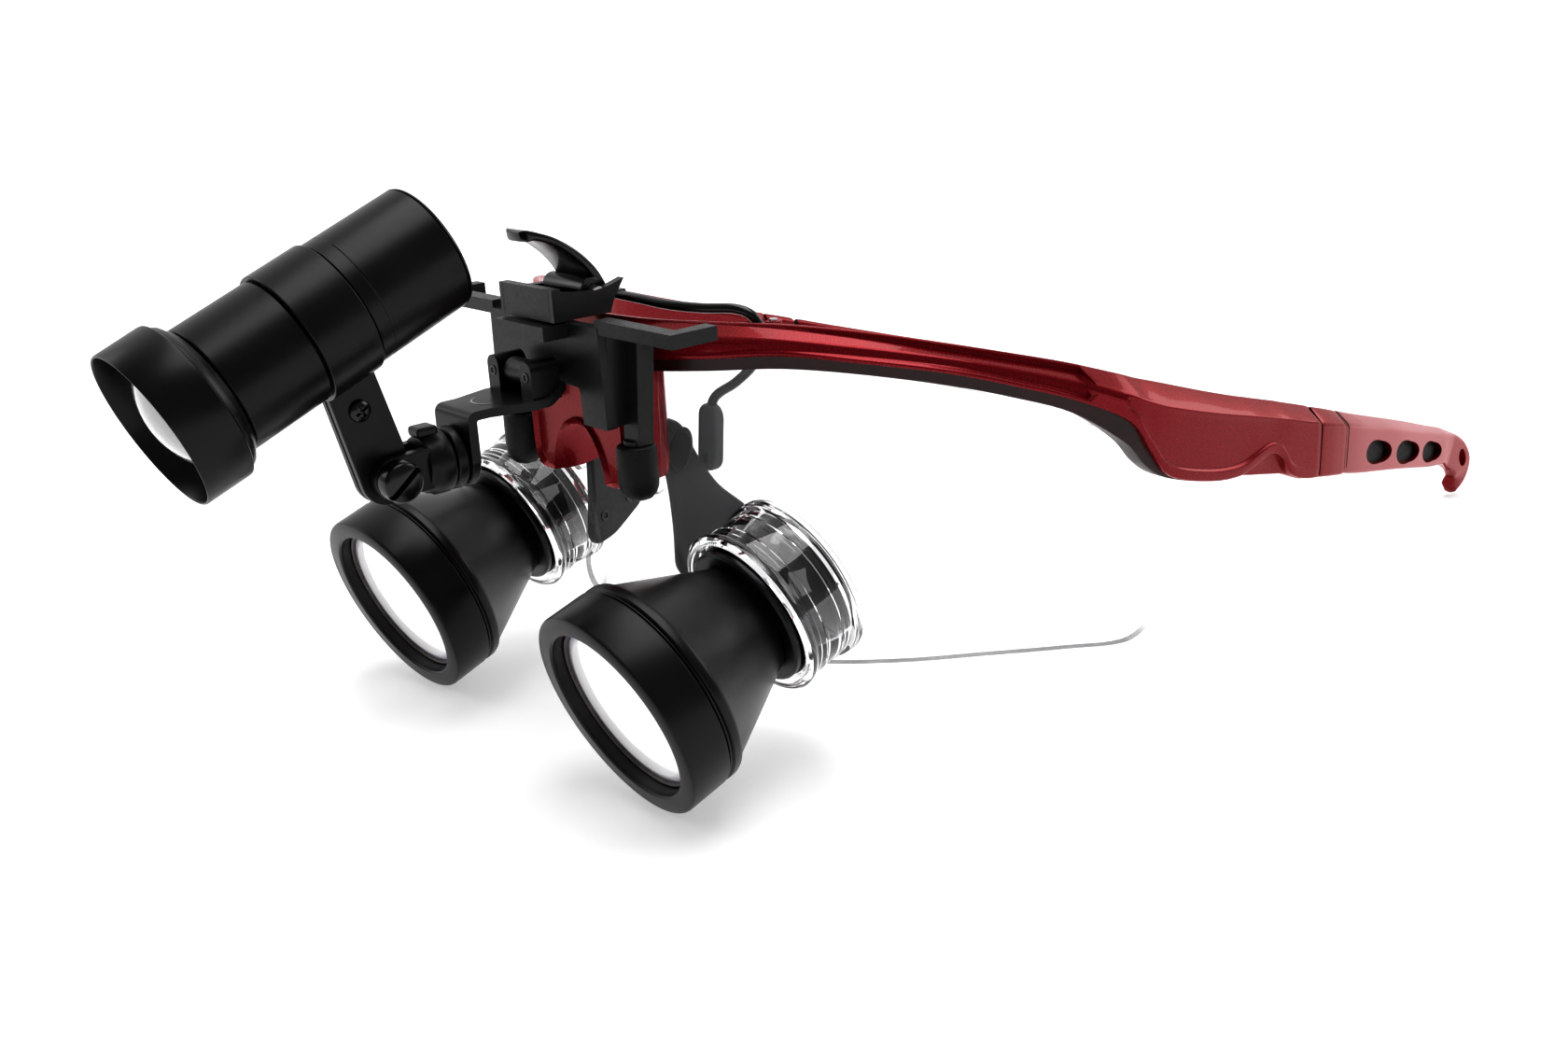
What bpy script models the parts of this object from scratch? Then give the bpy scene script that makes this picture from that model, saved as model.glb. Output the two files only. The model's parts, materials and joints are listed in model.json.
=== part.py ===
"""Dental loupes: wrap frame, two through-the-lens magnifiers and a clip-on headlight.

Lengths are in millimetres and become metres through MM. The wearer's left is +X, the wearer
looks along -Y, and +Z is up. FACE_Y is where the front faces of the magnifiers stand before
the datum empty moves the model so that the origin is under the middle of its box.
"""

import bpy
import bmesh
from math import cos, pi, radians, sin
from mathutils import Matrix, Vector

MM = 0.001
GAP = 0.3
ROUND_STEPS = 24
SMALL_STEPS = 14

# Magnifiers: one straight optical axis on each side
PUPIL_DISTANCE = 61.3
DECLINATION = radians(18.7)
CONVERGENCE = radians(2.0)
BEZEL_R = 16.0
BEZEL_LENGTH = 6.8
BEZEL_CHAMFER = 0.5
CONE_END = 23.6
CONE_SMALL_R = 8.7
TUBE_R = 10.8
TUBE_END = 35.2
CARRIER_R = 12.5
CARRIER_RIM_R = 12.9
CARRIER_START = 24.6
CARRIER_END = 34.9
CARRIER_SLEEVE_R = 12.4
CARRIER_SLEEVE_END = 41.5

# Wrap of the frame, seen from above
WRAP_R = 66.5
WRAP_CENTRE_Y = 88.0
SEAM_Y = 110.6
LENS_INSET = 1.7
LENS_THICKNESS = 1.7
LENS_SAG = 0.005
LENS_CROWN_Z = 45.0

# Temple hinges
HINGE_X = 61.9
HINGE_R = 1.9
HINGE_PIN_R = 0.9
COLLAR_LENGTH = 8.4

# Headlight: its axis is in the middle plane
LAMP_FRONT = (0.0, -43.2, 58.9)
LAMP_TILT = radians(22.5)
HOOD_R = 11.15
HOOD_LENGTH = 8.7
BARREL_R = 8.9
CLAMP_START = 20.8
CLAMP_END = 28.8
CLAMP_R = 9.4
LAMP_END = 44.4
REAR_R = 9.0

# Joints of the lamp arm
TILT_PIVOT = (0.0, -13.2, 46.3)
SWIVEL_POINT = (0.0, -1.4, 46.5)
SWIVEL_R = 4.6
ARM_PIVOT = (0.0, 10.5, 56.2)
ARM_THICKNESS = 1.3
ARM_TOP = 53.3
EAR_HALF = 1.35
FORK_GAP_HALF = EAR_HALF + GAP
FORK_HALF = 3.3

# Clip base on the bridge
PLATE_Y = 14.2
PLATE_THICKNESS = 1.8
PLATE_HALF = 14.1
PLATE_TOP = 63.4
PLATE_LOW = 48.9
POST = (15.0, 18.4)
SLEEVE_R = 2.95
SLEEVE_LOW = 38.0
SLEEVE_TOP = 46.2
WING_X = 30.5
WING_WIDTH = 2.3
WING_END_Y = 22.2
TRAY_HALF = 6.9
TRAY_FRONT_Y = 12.0
TRAY_BACK_Y = 24.4
TRAY_LOW = PLATE_TOP + GAP
TRAY_TOP = 68.3
CLIP_PIVOT = (0.0, 20.0, 66.9)
WIRE_R = 0.7

# The model reaches from the hood's upper lip to the temples' bends
LAMP_FRONT_Y = LAMP_FRONT[1] - HOOD_R * sin(LAMP_TILT)
TEMPLE_BACK_Y = 203.87
FACE_Y = -(LAMP_FRONT_Y + TEMPLE_BACK_Y) / 2

COLOURS = {
    "red_paint": ((0.30, 0.012, 0.022), 0.22, 0.35),
    "clear_plastic": ((0.92, 0.94, 0.95), 0.05, 0.0),
    "optical_glass": ((0.90, 0.94, 0.96), 0.02, 0.0),
    "black_anodised": ((0.012, 0.012, 0.013), 0.38, 0.6),
    "black_metal": ((0.015, 0.015, 0.016), 0.30, 0.8),
    "clip_plastic": ((0.035, 0.037, 0.040), 0.55, 0.0),
    "black_rubber": ((0.020, 0.020, 0.022), 0.75, 0.0),
    "nose_rubber": ((0.050, 0.052, 0.056), 0.60, 0.0),
    "steel": ((0.55, 0.55, 0.56), 0.30, 1.0),
    "led_board": ((0.75, 0.70, 0.35), 0.50, 0.0),
}


# ---------------------------------------------------------------- scene and materials

def clear_scene():
    for old in list(bpy.data.objects):
        bpy.data.objects.remove(old, do_unlink=True)


def make_collections():
    parts = bpy.data.collections.new("dental_loupes")
    tools = bpy.data.collections.new("cutters")
    for collection in (parts, tools):
        bpy.context.scene.collection.children.link(collection)
    return parts, tools


def make_material(name):
    colour, roughness, metallic = COLOURS[name]
    material = bpy.data.materials.new(name)
    material.use_nodes = True
    shader = material.node_tree.nodes["Principled BSDF"]
    shader.inputs["Base Color"].default_value = (*colour, 1.0)
    shader.inputs["Roughness"].default_value = roughness
    shader.inputs["Metallic"].default_value = metallic
    return material


clear_scene()
PARTS, CUTTERS = make_collections()
MATERIALS = {name: make_material(name) for name in COLOURS}


# ---------------------------------------------------------------- joints as empties

def make_empty(name, point, parent=None):
    """An empty at a point given in the magnifiers' frame."""
    empty = bpy.data.objects.new(name, None)
    empty.empty_display_size = 5 * MM
    PARTS.objects.link(empty)
    empty.parent = parent
    world = Vector(point)
    home = Vector(parent["point"]) if parent else Vector((0, -FACE_Y, 0))
    empty["point"] = tuple(world)
    empty.location = (world - home) * MM
    return empty


DATUM = make_empty("datum", (0, 0, 0))
ARM_JOINT = make_empty("arm_joint", ARM_PIVOT, DATUM)
SWIVEL_JOINT = make_empty("swivel_joint", SWIVEL_POINT, ARM_JOINT)
TILT_JOINT = make_empty("tilt_joint", TILT_PIVOT, SWIVEL_JOINT)
CLIP_JOINT = make_empty("clip_joint", CLIP_PIVOT, DATUM)
FOLD_JOINTS = {
    side: make_empty("fold_joint_" + word, (side * HINGE_X, SEAM_Y, 0), DATUM)
    for side, word in ((1, "left"), (-1, "right"))
}


# ---------------------------------------------------------------- building helpers

def adopt(obj, joint, matrix=None):
    """Parent an object, made in the magnifiers' frame or placed there by matrix, to a joint."""
    home = Matrix.Translation(-Vector(joint["point"]) * MM)
    obj.parent = joint
    obj.matrix_local = home @ (matrix or Matrix.Identity(4))
    return obj


def new_object(name, mesh, material, joint, matrix=None, tool=False):
    obj = bpy.data.objects.new(name, mesh)
    if tool:
        CUTTERS.objects.link(obj)
        obj.hide_render = True
        obj.display_type = "WIRE"
    else:
        PARTS.objects.link(obj)
        mesh.materials.append(MATERIALS[material])
    return adopt(obj, joint, matrix)


def finish_mesh(name, bm, smooth=False):
    bmesh.ops.recalc_face_normals(bm, faces=bm.faces)
    mesh = bpy.data.meshes.new(name)
    bm.to_mesh(mesh)
    bm.free()
    if smooth:
        mesh.shade_smooth()
        mesh.set_sharp_from_angle(angle=radians(35))
    return mesh


def box(name, low, high, material=None, joint=DATUM, tool=False, bevel=0.0):
    bm = bmesh.new()
    bmesh.ops.create_cube(bm, size=1.0)
    low, high = Vector(low) * MM, Vector(high) * MM
    for vert in bm.verts:
        for axis in range(3):
            middle = (low[axis] + high[axis]) / 2
            vert.co[axis] = middle + vert.co[axis] * (high[axis] - low[axis])
    obj = new_object(name, finish_mesh(name, bm), material, joint, tool=tool)
    if bevel:
        add_bevel(obj, bevel)
    return obj


def add_bevel(obj, width, segments=1, angle=40):
    bevel = obj.modifiers.new("rounded_edges", "BEVEL")
    bevel.width = width * MM
    bevel.segments = segments
    bevel.limit_method = "ANGLE"
    bevel.angle_limit = radians(angle)
    return bevel


def cut(obj, *tools, operation="DIFFERENCE"):
    for tool in tools:
        boolean = obj.modifiers.new(operation.lower(), "BOOLEAN")
        boolean.operation = operation
        boolean.object = tool
    return obj


def join(obj, *tools):
    return cut(obj, *tools, operation="UNION")


def axis_frame(point, direction, up=(0, 0, 1)):
    """Matrix whose Z runs along direction from point, with its Y near up."""
    z = Vector(direction).normalized()
    x = Vector(up).cross(z)
    x.normalize()
    y = z.cross(x)
    frame = Matrix((x, y, z)).transposed().to_4x4()
    return Matrix.Translation(Vector(point) * MM) @ frame


def turned(name, profile, point, direction, material=None, joint=DATUM, steps=ROUND_STEPS,
           up=(0, 0, 1), tool=False, closed=True):
    """A turned piece: (radius, height) points run down the outside, then up the inside."""
    mesh = bpy.data.meshes.new(name)
    points = [(radius * MM, 0.0, height * MM) for radius, height in profile]
    edges = [(i, i + 1) for i in range(len(points) - 1)]
    if closed:
        edges.append((len(points) - 1, 0))
    mesh.from_pydata(points, edges, [])
    obj = new_object(name, mesh, material, joint, axis_frame(point, direction, up), tool)
    screw = obj.modifiers.new("turn", "SCREW")
    screw.steps = steps
    screw.render_steps = steps
    screw.use_merge_vertices = True
    screw.merge_threshold = 0.00001
    screw.use_smooth_shade = True
    return obj


def solid_turned(name, profile, point, direction, **options):
    """A turned piece that reaches its own axis at both ends of its profile."""
    return turned(name, profile, point, direction, closed=False, **options)


def rod(name, radius, point, direction, start, end, **options):
    profile = [(0, end), (radius, end), (radius, start), (0, start)]
    return solid_turned(name, profile, point, direction, **options)


def loft(name, rings, material, joint=DATUM, smooth=True, capped=True, tool=False):
    """A skin over rings of equally many points, with flat ends."""
    bm = bmesh.new()
    rows = [[bm.verts.new(Vector(point) * MM) for point in ring] for ring in rings]
    count = len(rows[0])
    for first, second in zip(rows, rows[1:]):
        for i in range(count):
            k = (i + 1) % count
            bm.faces.new((first[i], first[k], second[k], second[i]))
    if capped:
        bm.faces.new(rows[0])
        bm.faces.new(rows[-1])
    return new_object(name, finish_mesh(name, bm, smooth), material, joint, tool=tool)


def outline_plate(name, outline, thickness, frame, material, joint=DATUM, tool=False):
    """A flat outline, extruded to both sides of its plane, as a mesh."""
    curve = bpy.data.curves.new(name, "CURVE")
    curve.dimensions = "2D"
    curve.fill_mode = "BOTH"
    curve.extrude = thickness * MM / 2
    spline = curve.splines.new("POLY")
    spline.points.add(len(outline) - 1)
    for point, (u, v) in zip(spline.points, outline):
        point.co = (u * MM, v * MM, 0, 1)
    spline.use_cyclic_u = True
    guide = bpy.data.objects.new(name + "_outline", curve)
    bpy.context.scene.collection.objects.link(guide)
    return mesh_from_curve(name, guide, frame, material, joint, tool)


def mesh_from_curve(name, guide, frame, material, joint, tool=False):
    bpy.context.view_layer.update()
    evaluated = guide.evaluated_get(bpy.context.evaluated_depsgraph_get())
    mesh = bpy.data.meshes.new_from_object(evaluated)
    bm = bmesh.new()
    bm.from_mesh(mesh)
    bmesh.ops.remove_doubles(bm, verts=bm.verts, dist=0.00001)
    bmesh.ops.recalc_face_normals(bm, faces=bm.faces)
    bm.to_mesh(mesh)
    bm.free()
    bpy.data.objects.remove(guide, do_unlink=True)
    mesh.name = name
    return new_object(name, mesh, material, joint, frame, tool)


def wire(name, points, radius, material, joint=DATUM, resolution=2):
    """A round wire with flat ends along a smooth line through points."""
    curve = bpy.data.curves.new(name, "CURVE")
    curve.dimensions = "3D"
    curve.bevel_depth = radius * MM
    curve.bevel_resolution = resolution
    curve.use_fill_caps = True
    spline = curve.splines.new("POLY")
    route = smooth_line([Vector(point) for point in points], 3)
    spline.points.add(len(route) - 1)
    for point, place in zip(spline.points, route):
        point.co = (*(place * MM), 1)
    guide = bpy.data.objects.new(name + "_route", curve)
    bpy.context.scene.collection.objects.link(guide)
    return mesh_from_curve(name, guide, Matrix.Identity(4), material, joint)


def smooth_line(points, pieces):
    """Catmull-Rom points through a list of vectors or tuples made vectors."""
    last = len(points) - 1
    line = []
    for i in range(last):
        p0, p1 = points[max(i - 1, 0)], points[i]
        p2, p3 = points[i + 1], points[min(i + 2, last)]
        for k in range(pieces):
            t = k / pieces
            line.append(0.5 * ((2 * p1) + (p2 - p0) * t + (2 * p0 - 5 * p1 + 4 * p2 - p3) * t * t
                               + (3 * p1 - 3 * p2 + p3 - p0) * t * t * t))
    line.append(points[last])
    return line


def arc(centre, radius, start, end, count):
    """Points (u, v) on an arc, its angles in degrees."""
    angles = [radians(start + (end - start) * i / count) for i in range(count + 1)]
    return [(centre[0] + radius * cos(a), centre[1] + radius * sin(a)) for a in angles]


def between(table, x):
    """Straight-line value from a table of (x, value) pairs."""
    for (x0, v0), (x1, v1) in zip(table, table[1:]):
        if x <= x1:
            return v0 + (v1 - v0) * max(x - x0, 0) / (x1 - x0)
    return table[-1][1]


SIDES = ((1, "left"), (-1, "right"))
YZ_PLANE = Matrix(((0, 0, 1, 0), (1, 0, 0, 0), (0, 1, 0, 0), (0, 0, 0, 1)))
XZ_PLANE = Matrix(((1, 0, 0, 0), (0, 0, -1, 0), (0, 1, 0, 0), (0, 0, 0, 1)))


def shifted(plane, x=0.0, y=0.0, z=0.0):
    return Matrix.Translation(Vector((x, y, z)) * MM) @ plane


# ---------------------------------------------------------------- magnifiers

def loupe_axis(side):
    """Centre of the front face and the direction towards the eye."""
    height = BEZEL_R * cos(DECLINATION) - BEZEL_CHAMFER * sin(DECLINATION)
    point = (side * PUPIL_DISTANCE / 2, 0.0, height)
    level = cos(DECLINATION)
    direction = (side * sin(CONVERGENCE) * level, cos(CONVERGENCE) * level, sin(DECLINATION))
    return point, direction


def make_loupe(side, word):
    point, direction = loupe_axis(side)

    def ring(name, profile, material):
        return turned(name + "_" + word, profile, point, direction, material=material)

    def disc(name, profile, material):
        return solid_turned(name + "_" + word, profile, point, direction, material=material)

    ring("objective_bezel", [
        (BEZEL_R - 0.3, BEZEL_LENGTH), (BEZEL_R, BEZEL_LENGTH - 0.3), (BEZEL_R, BEZEL_CHAMFER),
        (BEZEL_R - 0.4, 0), (13.6, 0), (13.0, 0.8), (13.0, BEZEL_LENGTH)], "black_anodised")
    disc("objective_lens", [
        (0, 5.9), (12.7, 5.2), (12.7, 3.6), (9.0, 2.9), (4.5, 2.4), (0, 2.2)], "optical_glass")
    start = BEZEL_LENGTH + GAP
    ring("cone_housing", [
        (CONE_SMALL_R, CONE_END), (15.3, start + 2.0), (15.7, start + 1.6), (15.7, start),
        (13.9, start), (13.9, start + 2.0), (CONE_SMALL_R - 1.4, CONE_END)], "black_anodised")
    flange = CONE_END + GAP
    ring("neck_flange", [
        (TUBE_R - 0.2, flange + 1.4), (TUBE_R - 0.2, flange), (7.5, flange),
        (7.5, flange + 1.4)], "black_anodised")
    tube = flange + 1.4 + GAP
    ring("eyepiece_tube", [
        (TUBE_R - 0.5, TUBE_END), (TUBE_R, TUBE_END - 0.5), (TUBE_R, tube), (9.2, tube),
        (9.2, TUBE_END - 1.2), (8.2, TUBE_END - 1.2), (8.2, TUBE_END)], "black_anodised")
    disc("eyepiece_lens", [
        (0, TUBE_END - 2.0), (8.9, TUBE_END - 2.2), (8.9, TUBE_END - 4.0),
        (0, TUBE_END - 4.6)], "optical_glass")
    bore = TUBE_R + GAP
    ring("carrier_ring", [
        (CARRIER_SLEEVE_R, CARRIER_SLEEVE_END), (CARRIER_SLEEVE_R, CARRIER_END),
        (CARRIER_RIM_R, CARRIER_END), (CARRIER_RIM_R, CARRIER_END - 1.2),
        (CARRIER_R, CARRIER_END - 1.6), (CARRIER_R, CARRIER_START + 2.2),
        (CARRIER_RIM_R, CARRIER_START + 1.8), (CARRIER_RIM_R, CARRIER_START + 0.4),
        (CARRIER_RIM_R - 0.5, CARRIER_START), (bore, CARRIER_START),
        (bore, CARRIER_SLEEVE_END)], "clear_plastic")


# ---------------------------------------------------------------- frame front

# Outer face and heights along half of the front: x, y, facing, top, ridge, low, band, depth
FRONT_SECTIONS = (
    (0.0, 21.5, 0, 62.3, 60.0, 57.0, 55.0, 5.0),
    (11.5, 22.5, 10, 62.5, 60.3, 57.3, 55.3, 5.0),
    (22.7, 25.5, 20, 62.8, 60.8, 58.1, 56.2, 5.0),
    (33.2, 30.4, 30, 62.8, 61.0, 59.0, 57.0, 5.0),
    (42.7, 37.1, 40, 61.8, 60.0, 58.0, 56.2, 4.8),
    (50.9, 45.3, 50, 59.8, 58.2, 56.2, 54.3, 4.8),
    (56.4, 52.8, 58, 57.8, 56.0, 53.7, 51.9, 4.8),
    (60.6, 60.0, 66, 55.8, 53.6, 51.0, 49.0, 4.8),
    (64.8, 66.5, 76, 53.7, 50.8, 47.4, 44.1, 5.2),
    (65.8, 70.0, 80, 52.5, 49.2, 42.6, 40.2, 4.9),
    (66.4, 74.0, 83, 51.3, 47.7, 38.0, 37.6, 4.6),
    (67.0, 83.0, 87, 48.5, 45.1, 35.2, 35.0, 4.2),
    (67.3, 90.0, 88, 46.4, 43.3, 34.3, 34.1, 4.0),
    (67.5, 96.5, 89, 44.6, 41.6, 35.9, 35.7, 3.9),
    (67.8, 102.0, 90, 43.1, 40.1, 32.2, 32.0, 3.8),
    (67.9, 106.5, 90, 41.8, 39.0, 30.2, 30.0, 3.8),
    (68.0, SEAM_Y, 90, 40.7, 38.1, 29.5, 29.3, 3.8),
)
RIDGE_INSET = 3.4
BAND_INSET = 1.2


def frame_section(x, y, facing, top, ridge, low, band, depth):
    """One closed cross-section: a sloping top, an upright face and a narrower band below."""
    outward = Vector((sin(radians(facing)), -cos(radians(facing)), 0))
    inset = min(RIDGE_INSET, depth - 1.0)
    shape = ((0, low), (0, ridge), (-inset, top), (-depth + 0.4, top - 0.2),
             (-depth, top - 1.0), (-depth, low), (-depth + 0.4, band), (-BAND_INSET, band),
             (-BAND_INSET, low))
    if low - band < 0.5:
        shape = shape[:5] + ((-depth, low + 0.3), (-depth + 0.4, band), (-0.6, band), (-0.3, band))
    return [Vector((x, y, 0)) + outward * out + Vector((0, 0, z)) for out, z in shape]


def make_front_frame():
    rows = [Vector(row) for row in FRONT_SECTIONS]
    rings = [frame_section(*row) for row in smooth_line(rows, 2)]
    for point in rings[0]:
        point.x = 0.0
    frame = loft("front_frame", rings, "red_paint", capped=False)
    close_end(frame)
    mirror = frame.modifiers.new("other_half", "MIRROR")
    mirror.merge_threshold = 0.00001
    mirror.use_clip = False
    join(frame, make_bridge())
    for side, word in SIDES:
        join(frame, *frame_knuckles(side, word))
    bores = [rod("hinge_bore_" + word, HINGE_PIN_R + GAP, (side * HINGE_X, SEAM_Y, 0), (0, 0, 1),
                 20, 50, up=(0, 1, 0), steps=SMALL_STEPS, tool=True) for side, word in SIDES]
    cut(frame, *bores)
    return frame


def close_end(obj):
    """Cap the outer end of the half frame and leave the middle plane open for the mirror."""
    bm = bmesh.new()
    bm.from_mesh(obj.data)
    rim = [edge for edge in bm.edges
           if edge.is_boundary and all(vert.co.x > 1 * MM for vert in edge.verts)]
    bmesh.ops.holes_fill(bm, edges=rim, sides=0)
    bmesh.ops.recalc_face_normals(bm, faces=bm.faces)
    point = max(bm.faces, key=lambda face: face.calc_center_median().y)
    if point.normal.y < 0:
        bmesh.ops.reverse_faces(bm, faces=bm.faces)
    bm.to_mesh(obj.data)
    bm.free()


BRIDGE_FRONT_Y = 19.0
BRIDGE_BACK_Y = 25.4
BRIDGE_HALF = 11.5
BRIDGE_LOW = 38.4
NOSE_ARCH_HALF = 7.4
NOSE_ARCH_TOP = 47.4


def make_bridge():
    """The two legs over the nose, with the arch between them."""
    rise = NOSE_ARCH_TOP - BRIDGE_LOW
    steps = 10
    arch = [(-NOSE_ARCH_HALF * cos(pi * i / steps), BRIDGE_LOW + rise * sin(pi * i / steps) ** 0.8)
            for i in range(steps + 1)]
    right = [(BRIDGE_HALF - 1.6, BRIDGE_LOW), (BRIDGE_HALF - 0.3, BRIDGE_LOW + 1.4),
             (BRIDGE_HALF, 46), (BRIDGE_HALF, 58.5)]
    left = [(-x, z) for x, z in reversed(right)]
    depth = BRIDGE_BACK_Y - BRIDGE_FRONT_Y
    middle = (BRIDGE_BACK_Y + BRIDGE_FRONT_Y) / 2
    return outline_plate("bridge_block", arch + right + left, depth,
                         shifted(XZ_PLANE, y=middle), None, tool=True)


KNUCKLE_HEIGHTS = ((30.6, 33.0), (37.0, 39.4))
COLLAR_KNUCKLE = (33.3, 36.7)


def knuckle(name, side, low, high, reach):
    """A hinge barrel with a web that reaches outward into the piece that carries it."""
    point = (side * HINGE_X, SEAM_Y, 0)
    barrel = rod(name + "_barrel", HINGE_R, point, (0, 0, 1), low, high, up=(0, 1, 0),
                 steps=SMALL_STEPS, tool=True)
    x_near, x_far = sorted((side * (HINGE_X + 0.5), side * (HINGE_X + 3.4)))
    web = box(name + "_web", (x_near, reach[0], low), (x_far, reach[1], high), tool=True)
    return barrel, web


def frame_knuckles(side, word):
    tools = []
    for level, (low, high) in zip(("low", "high"), KNUCKLE_HEIGHTS):
        reach = (SEAM_Y - 3.4, SEAM_Y - 0.1)
        tools += knuckle("frame_knuckle_" + level + "_" + word, side, low, high, reach)
    return tools


# ---------------------------------------------------------------- clear shields

SHIELD_LOW = ((6.3, 35.4), (7.3, 29.5), (8.4, 23.7), (11, 17.0), (16, 12.6), (22, 11.0),
              (30, 10.6), (42, 11.3), (55, 11.8), (67, 11.0), (76, 9.6), (80, 9.8),
              (82.5, 12.0), (83.6, 16.0))
SHIELD_HIGH = ((6.3, 37.4), (10.6, 37.8), (11.2, 55.3), (20, 55.1), (30, 54.7), (40, 53.9),
               (50, 52.1), (58, 49.1), (66, 44.2), (71, 39.6), (74.5, 37.0), (78, 34.6),
               (81.5, 29.5), (83.6, 23.5))
SHIELD_ANGLES = (6.3, 7.3, 8.4, 10.6, 11.2, 16, 22, 30, 36, 42, 48.5, 55, 61, 67, 71, 74.5, 78,
                 80.5, 82.5, 83.6)
SHIELD_ROWS = 7


def shield_point(side, angle, z, inset=0.0):
    radius = WRAP_R - LENS_INSET - LENS_SAG * (z - LENS_CROWN_Z) ** 2 - inset
    return (side * radius * sin(radians(angle)), WRAP_CENTRE_Y - radius * cos(radians(angle)), z)


def make_shield(side, word):
    """A wrap lens as a grid between its lower and upper edges, thickened inwards."""
    bm = bmesh.new()
    columns = []
    for angle in SHIELD_ANGLES:
        low, high = between(SHIELD_LOW, angle), between(SHIELD_HIGH, angle)
        heights = [low + (high - low) * i / SHIELD_ROWS for i in range(SHIELD_ROWS + 1)]
        columns.append([bm.verts.new(Vector(shield_point(side, angle, z)) * MM)
                        for z in heights])
    for first, second in zip(columns, columns[1:]):
        for i in range(SHIELD_ROWS):
            corners = (first[i], second[i], second[i + 1], first[i + 1])
            bm.faces.new(corners if side > 0 else corners[::-1])
    mesh = bpy.data.meshes.new("lens_" + word)
    bm.to_mesh(mesh)
    bm.free()
    mesh.shade_smooth()
    shield = new_object("lens_" + word, mesh, "clear_plastic", DATUM)
    solid = shield.modifiers.new("thickness", "SOLIDIFY")
    solid.thickness = LENS_THICKNESS * MM
    solid.offset = -1.0
    point, direction = loupe_axis(side)
    bore = rod("lens_bore_" + word, CARRIER_RIM_R + GAP, point, direction, 10, 60,
               steps=ROUND_STEPS, tool=True)
    cut(shield, bore)
    return shield


# ---------------------------------------------------------------- nose pads

NOSE_FLARE = radians(13.5)
NOSE_PAD_THICKNESS = 1.6
NOSE_PAD_OUTLINE = ((26.2, 47.4), (28.0, 45.6), (30.7, 41.2), (34.5, 36.0), (38.9, 32.0),
                    (40.2, 30.2), (40.0, 27.8), (37.6, 25.2), (33.0, 23.2), (29.4, 22.8),
                    (28.0, 24.4), (27.6, 30.0), (26.9, 36.0), (25.9, 41.0), (25.8, 46.4))


def make_nose_pad(side, word):
    flare = Matrix.Rotation(-side * NOSE_FLARE, 4, "Z")
    hinge = Vector((side * 9.4, 26.4, 0)) * MM
    frame = Matrix.Translation(hinge) @ flare @ Matrix.Translation((0, -25.0 * MM, 0)) @ YZ_PLANE
    pad = outline_plate("nose_pad_" + word, NOSE_PAD_OUTLINE, NOSE_PAD_THICKNESS, frame,
                        "nose_rubber")
    return add_bevel(pad, 0.35)


# ---------------------------------------------------------------- temples

def temple_ring(x, y, facing, top, ridge, low, depth):
    outward = Vector((sin(radians(facing)), -cos(radians(facing)), 0))
    shape = ((-0.3, low), (0, low + 0.4), (0, ridge), (-min(2.8, depth - 0.8), top),
             (-depth + 0.2, top - 0.2), (-depth, top - 0.9), (-depth, low + 0.3),
             (-depth + 0.3, low))
    return [Vector((x, y, 0)) + outward * out + Vector((0, 0, z)) for out, z in shape]


# Outer face and heights behind the seam: x, y, facing, top, ridge, low, depth
COLLAR_SECTIONS = (
    (68.0, SEAM_Y + GAP, 90, 40.5, 38.0, 29.3, 3.6),
    (67.9, SEAM_Y + 4.0, 93, 39.5, 37.0, 28.6, 3.6),
    (67.6, SEAM_Y + COLLAR_LENGTH, 96, 38.3, 36.0, 27.7, 3.7),
)
ARM_SECTIONS = (
    (66.9, SEAM_Y + COLLAR_LENGTH + GAP, 97, 37.9, 35.6, 27.7, 3.2),
    (65.6, 127.0, 101, 35.9, 33.6, 25.7, 3.2),
    (62.9, 139.0, 103, 32.4, 30.2, 22.7, 3.1),
    (60.1, 151.0, 104, 28.9, 26.8, 19.7, 3.0),
    (57.0, 163.0, 104, 25.3, 23.3, 16.5, 2.9),
    (53.9, 175.0, 104, 21.6, 19.9, 13.3, 2.8),
    (51.2, 186.0, 104, 18.3, 16.7, 10.9, 2.6),
)
# The tip turns down to the ground: x, y, z of its middle, slope of its run, half width
TIP_SECTIONS = (
    (49.3, 192.0, 12.3, -20, 3.5),
    (48.6, 197.2, 9.9, -32, 3.7),
    (48.0, 200.8, 6.6, -62, 3.6),
    (47.4, 201.3, 3.7, -100, 2.9),
    (46.9, 199.9, 1.6, -140, 1.9),
)
# Oval holes: x, y, z, half length, half width, lean
TEMPLE_HOLES = ((63.2, 138.0, 26.5, 7.2, 1.9, -15), (58.6, 156.8, 21.4, 7.8, 1.9, -15),
                (53.8, 175.2, 16.4, 7.2, 1.8, -15), (48.2, 199.0, 8.6, 2.5, 1.2, -46))


def mirrored(ring, side):
    return [(side * point[0], point[1], point[2]) for point in ring]


def tip_rings():
    """Cross-sections of the turned-down tip, square to a path that bends towards the ground."""
    rings = []
    inward = Vector((-0.97, -0.24, 0))
    for x, y, z, slope, half in TIP_SECTIONS:
        across = Vector((0.0, -sin(radians(slope)), cos(radians(slope))))
        centre = Vector((x, y, z))
        shape = ((-half, 0.3), (-half + 0.4, 0), (half - 1.3, 0), (half, 1.4), (half, 1.9),
                 (half - 0.5, 2.4), (-half + 0.3, 2.4), (-half, 2.1))
        rings.append([centre + across * a + inward * t for a, t in shape])
    return rings


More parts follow.
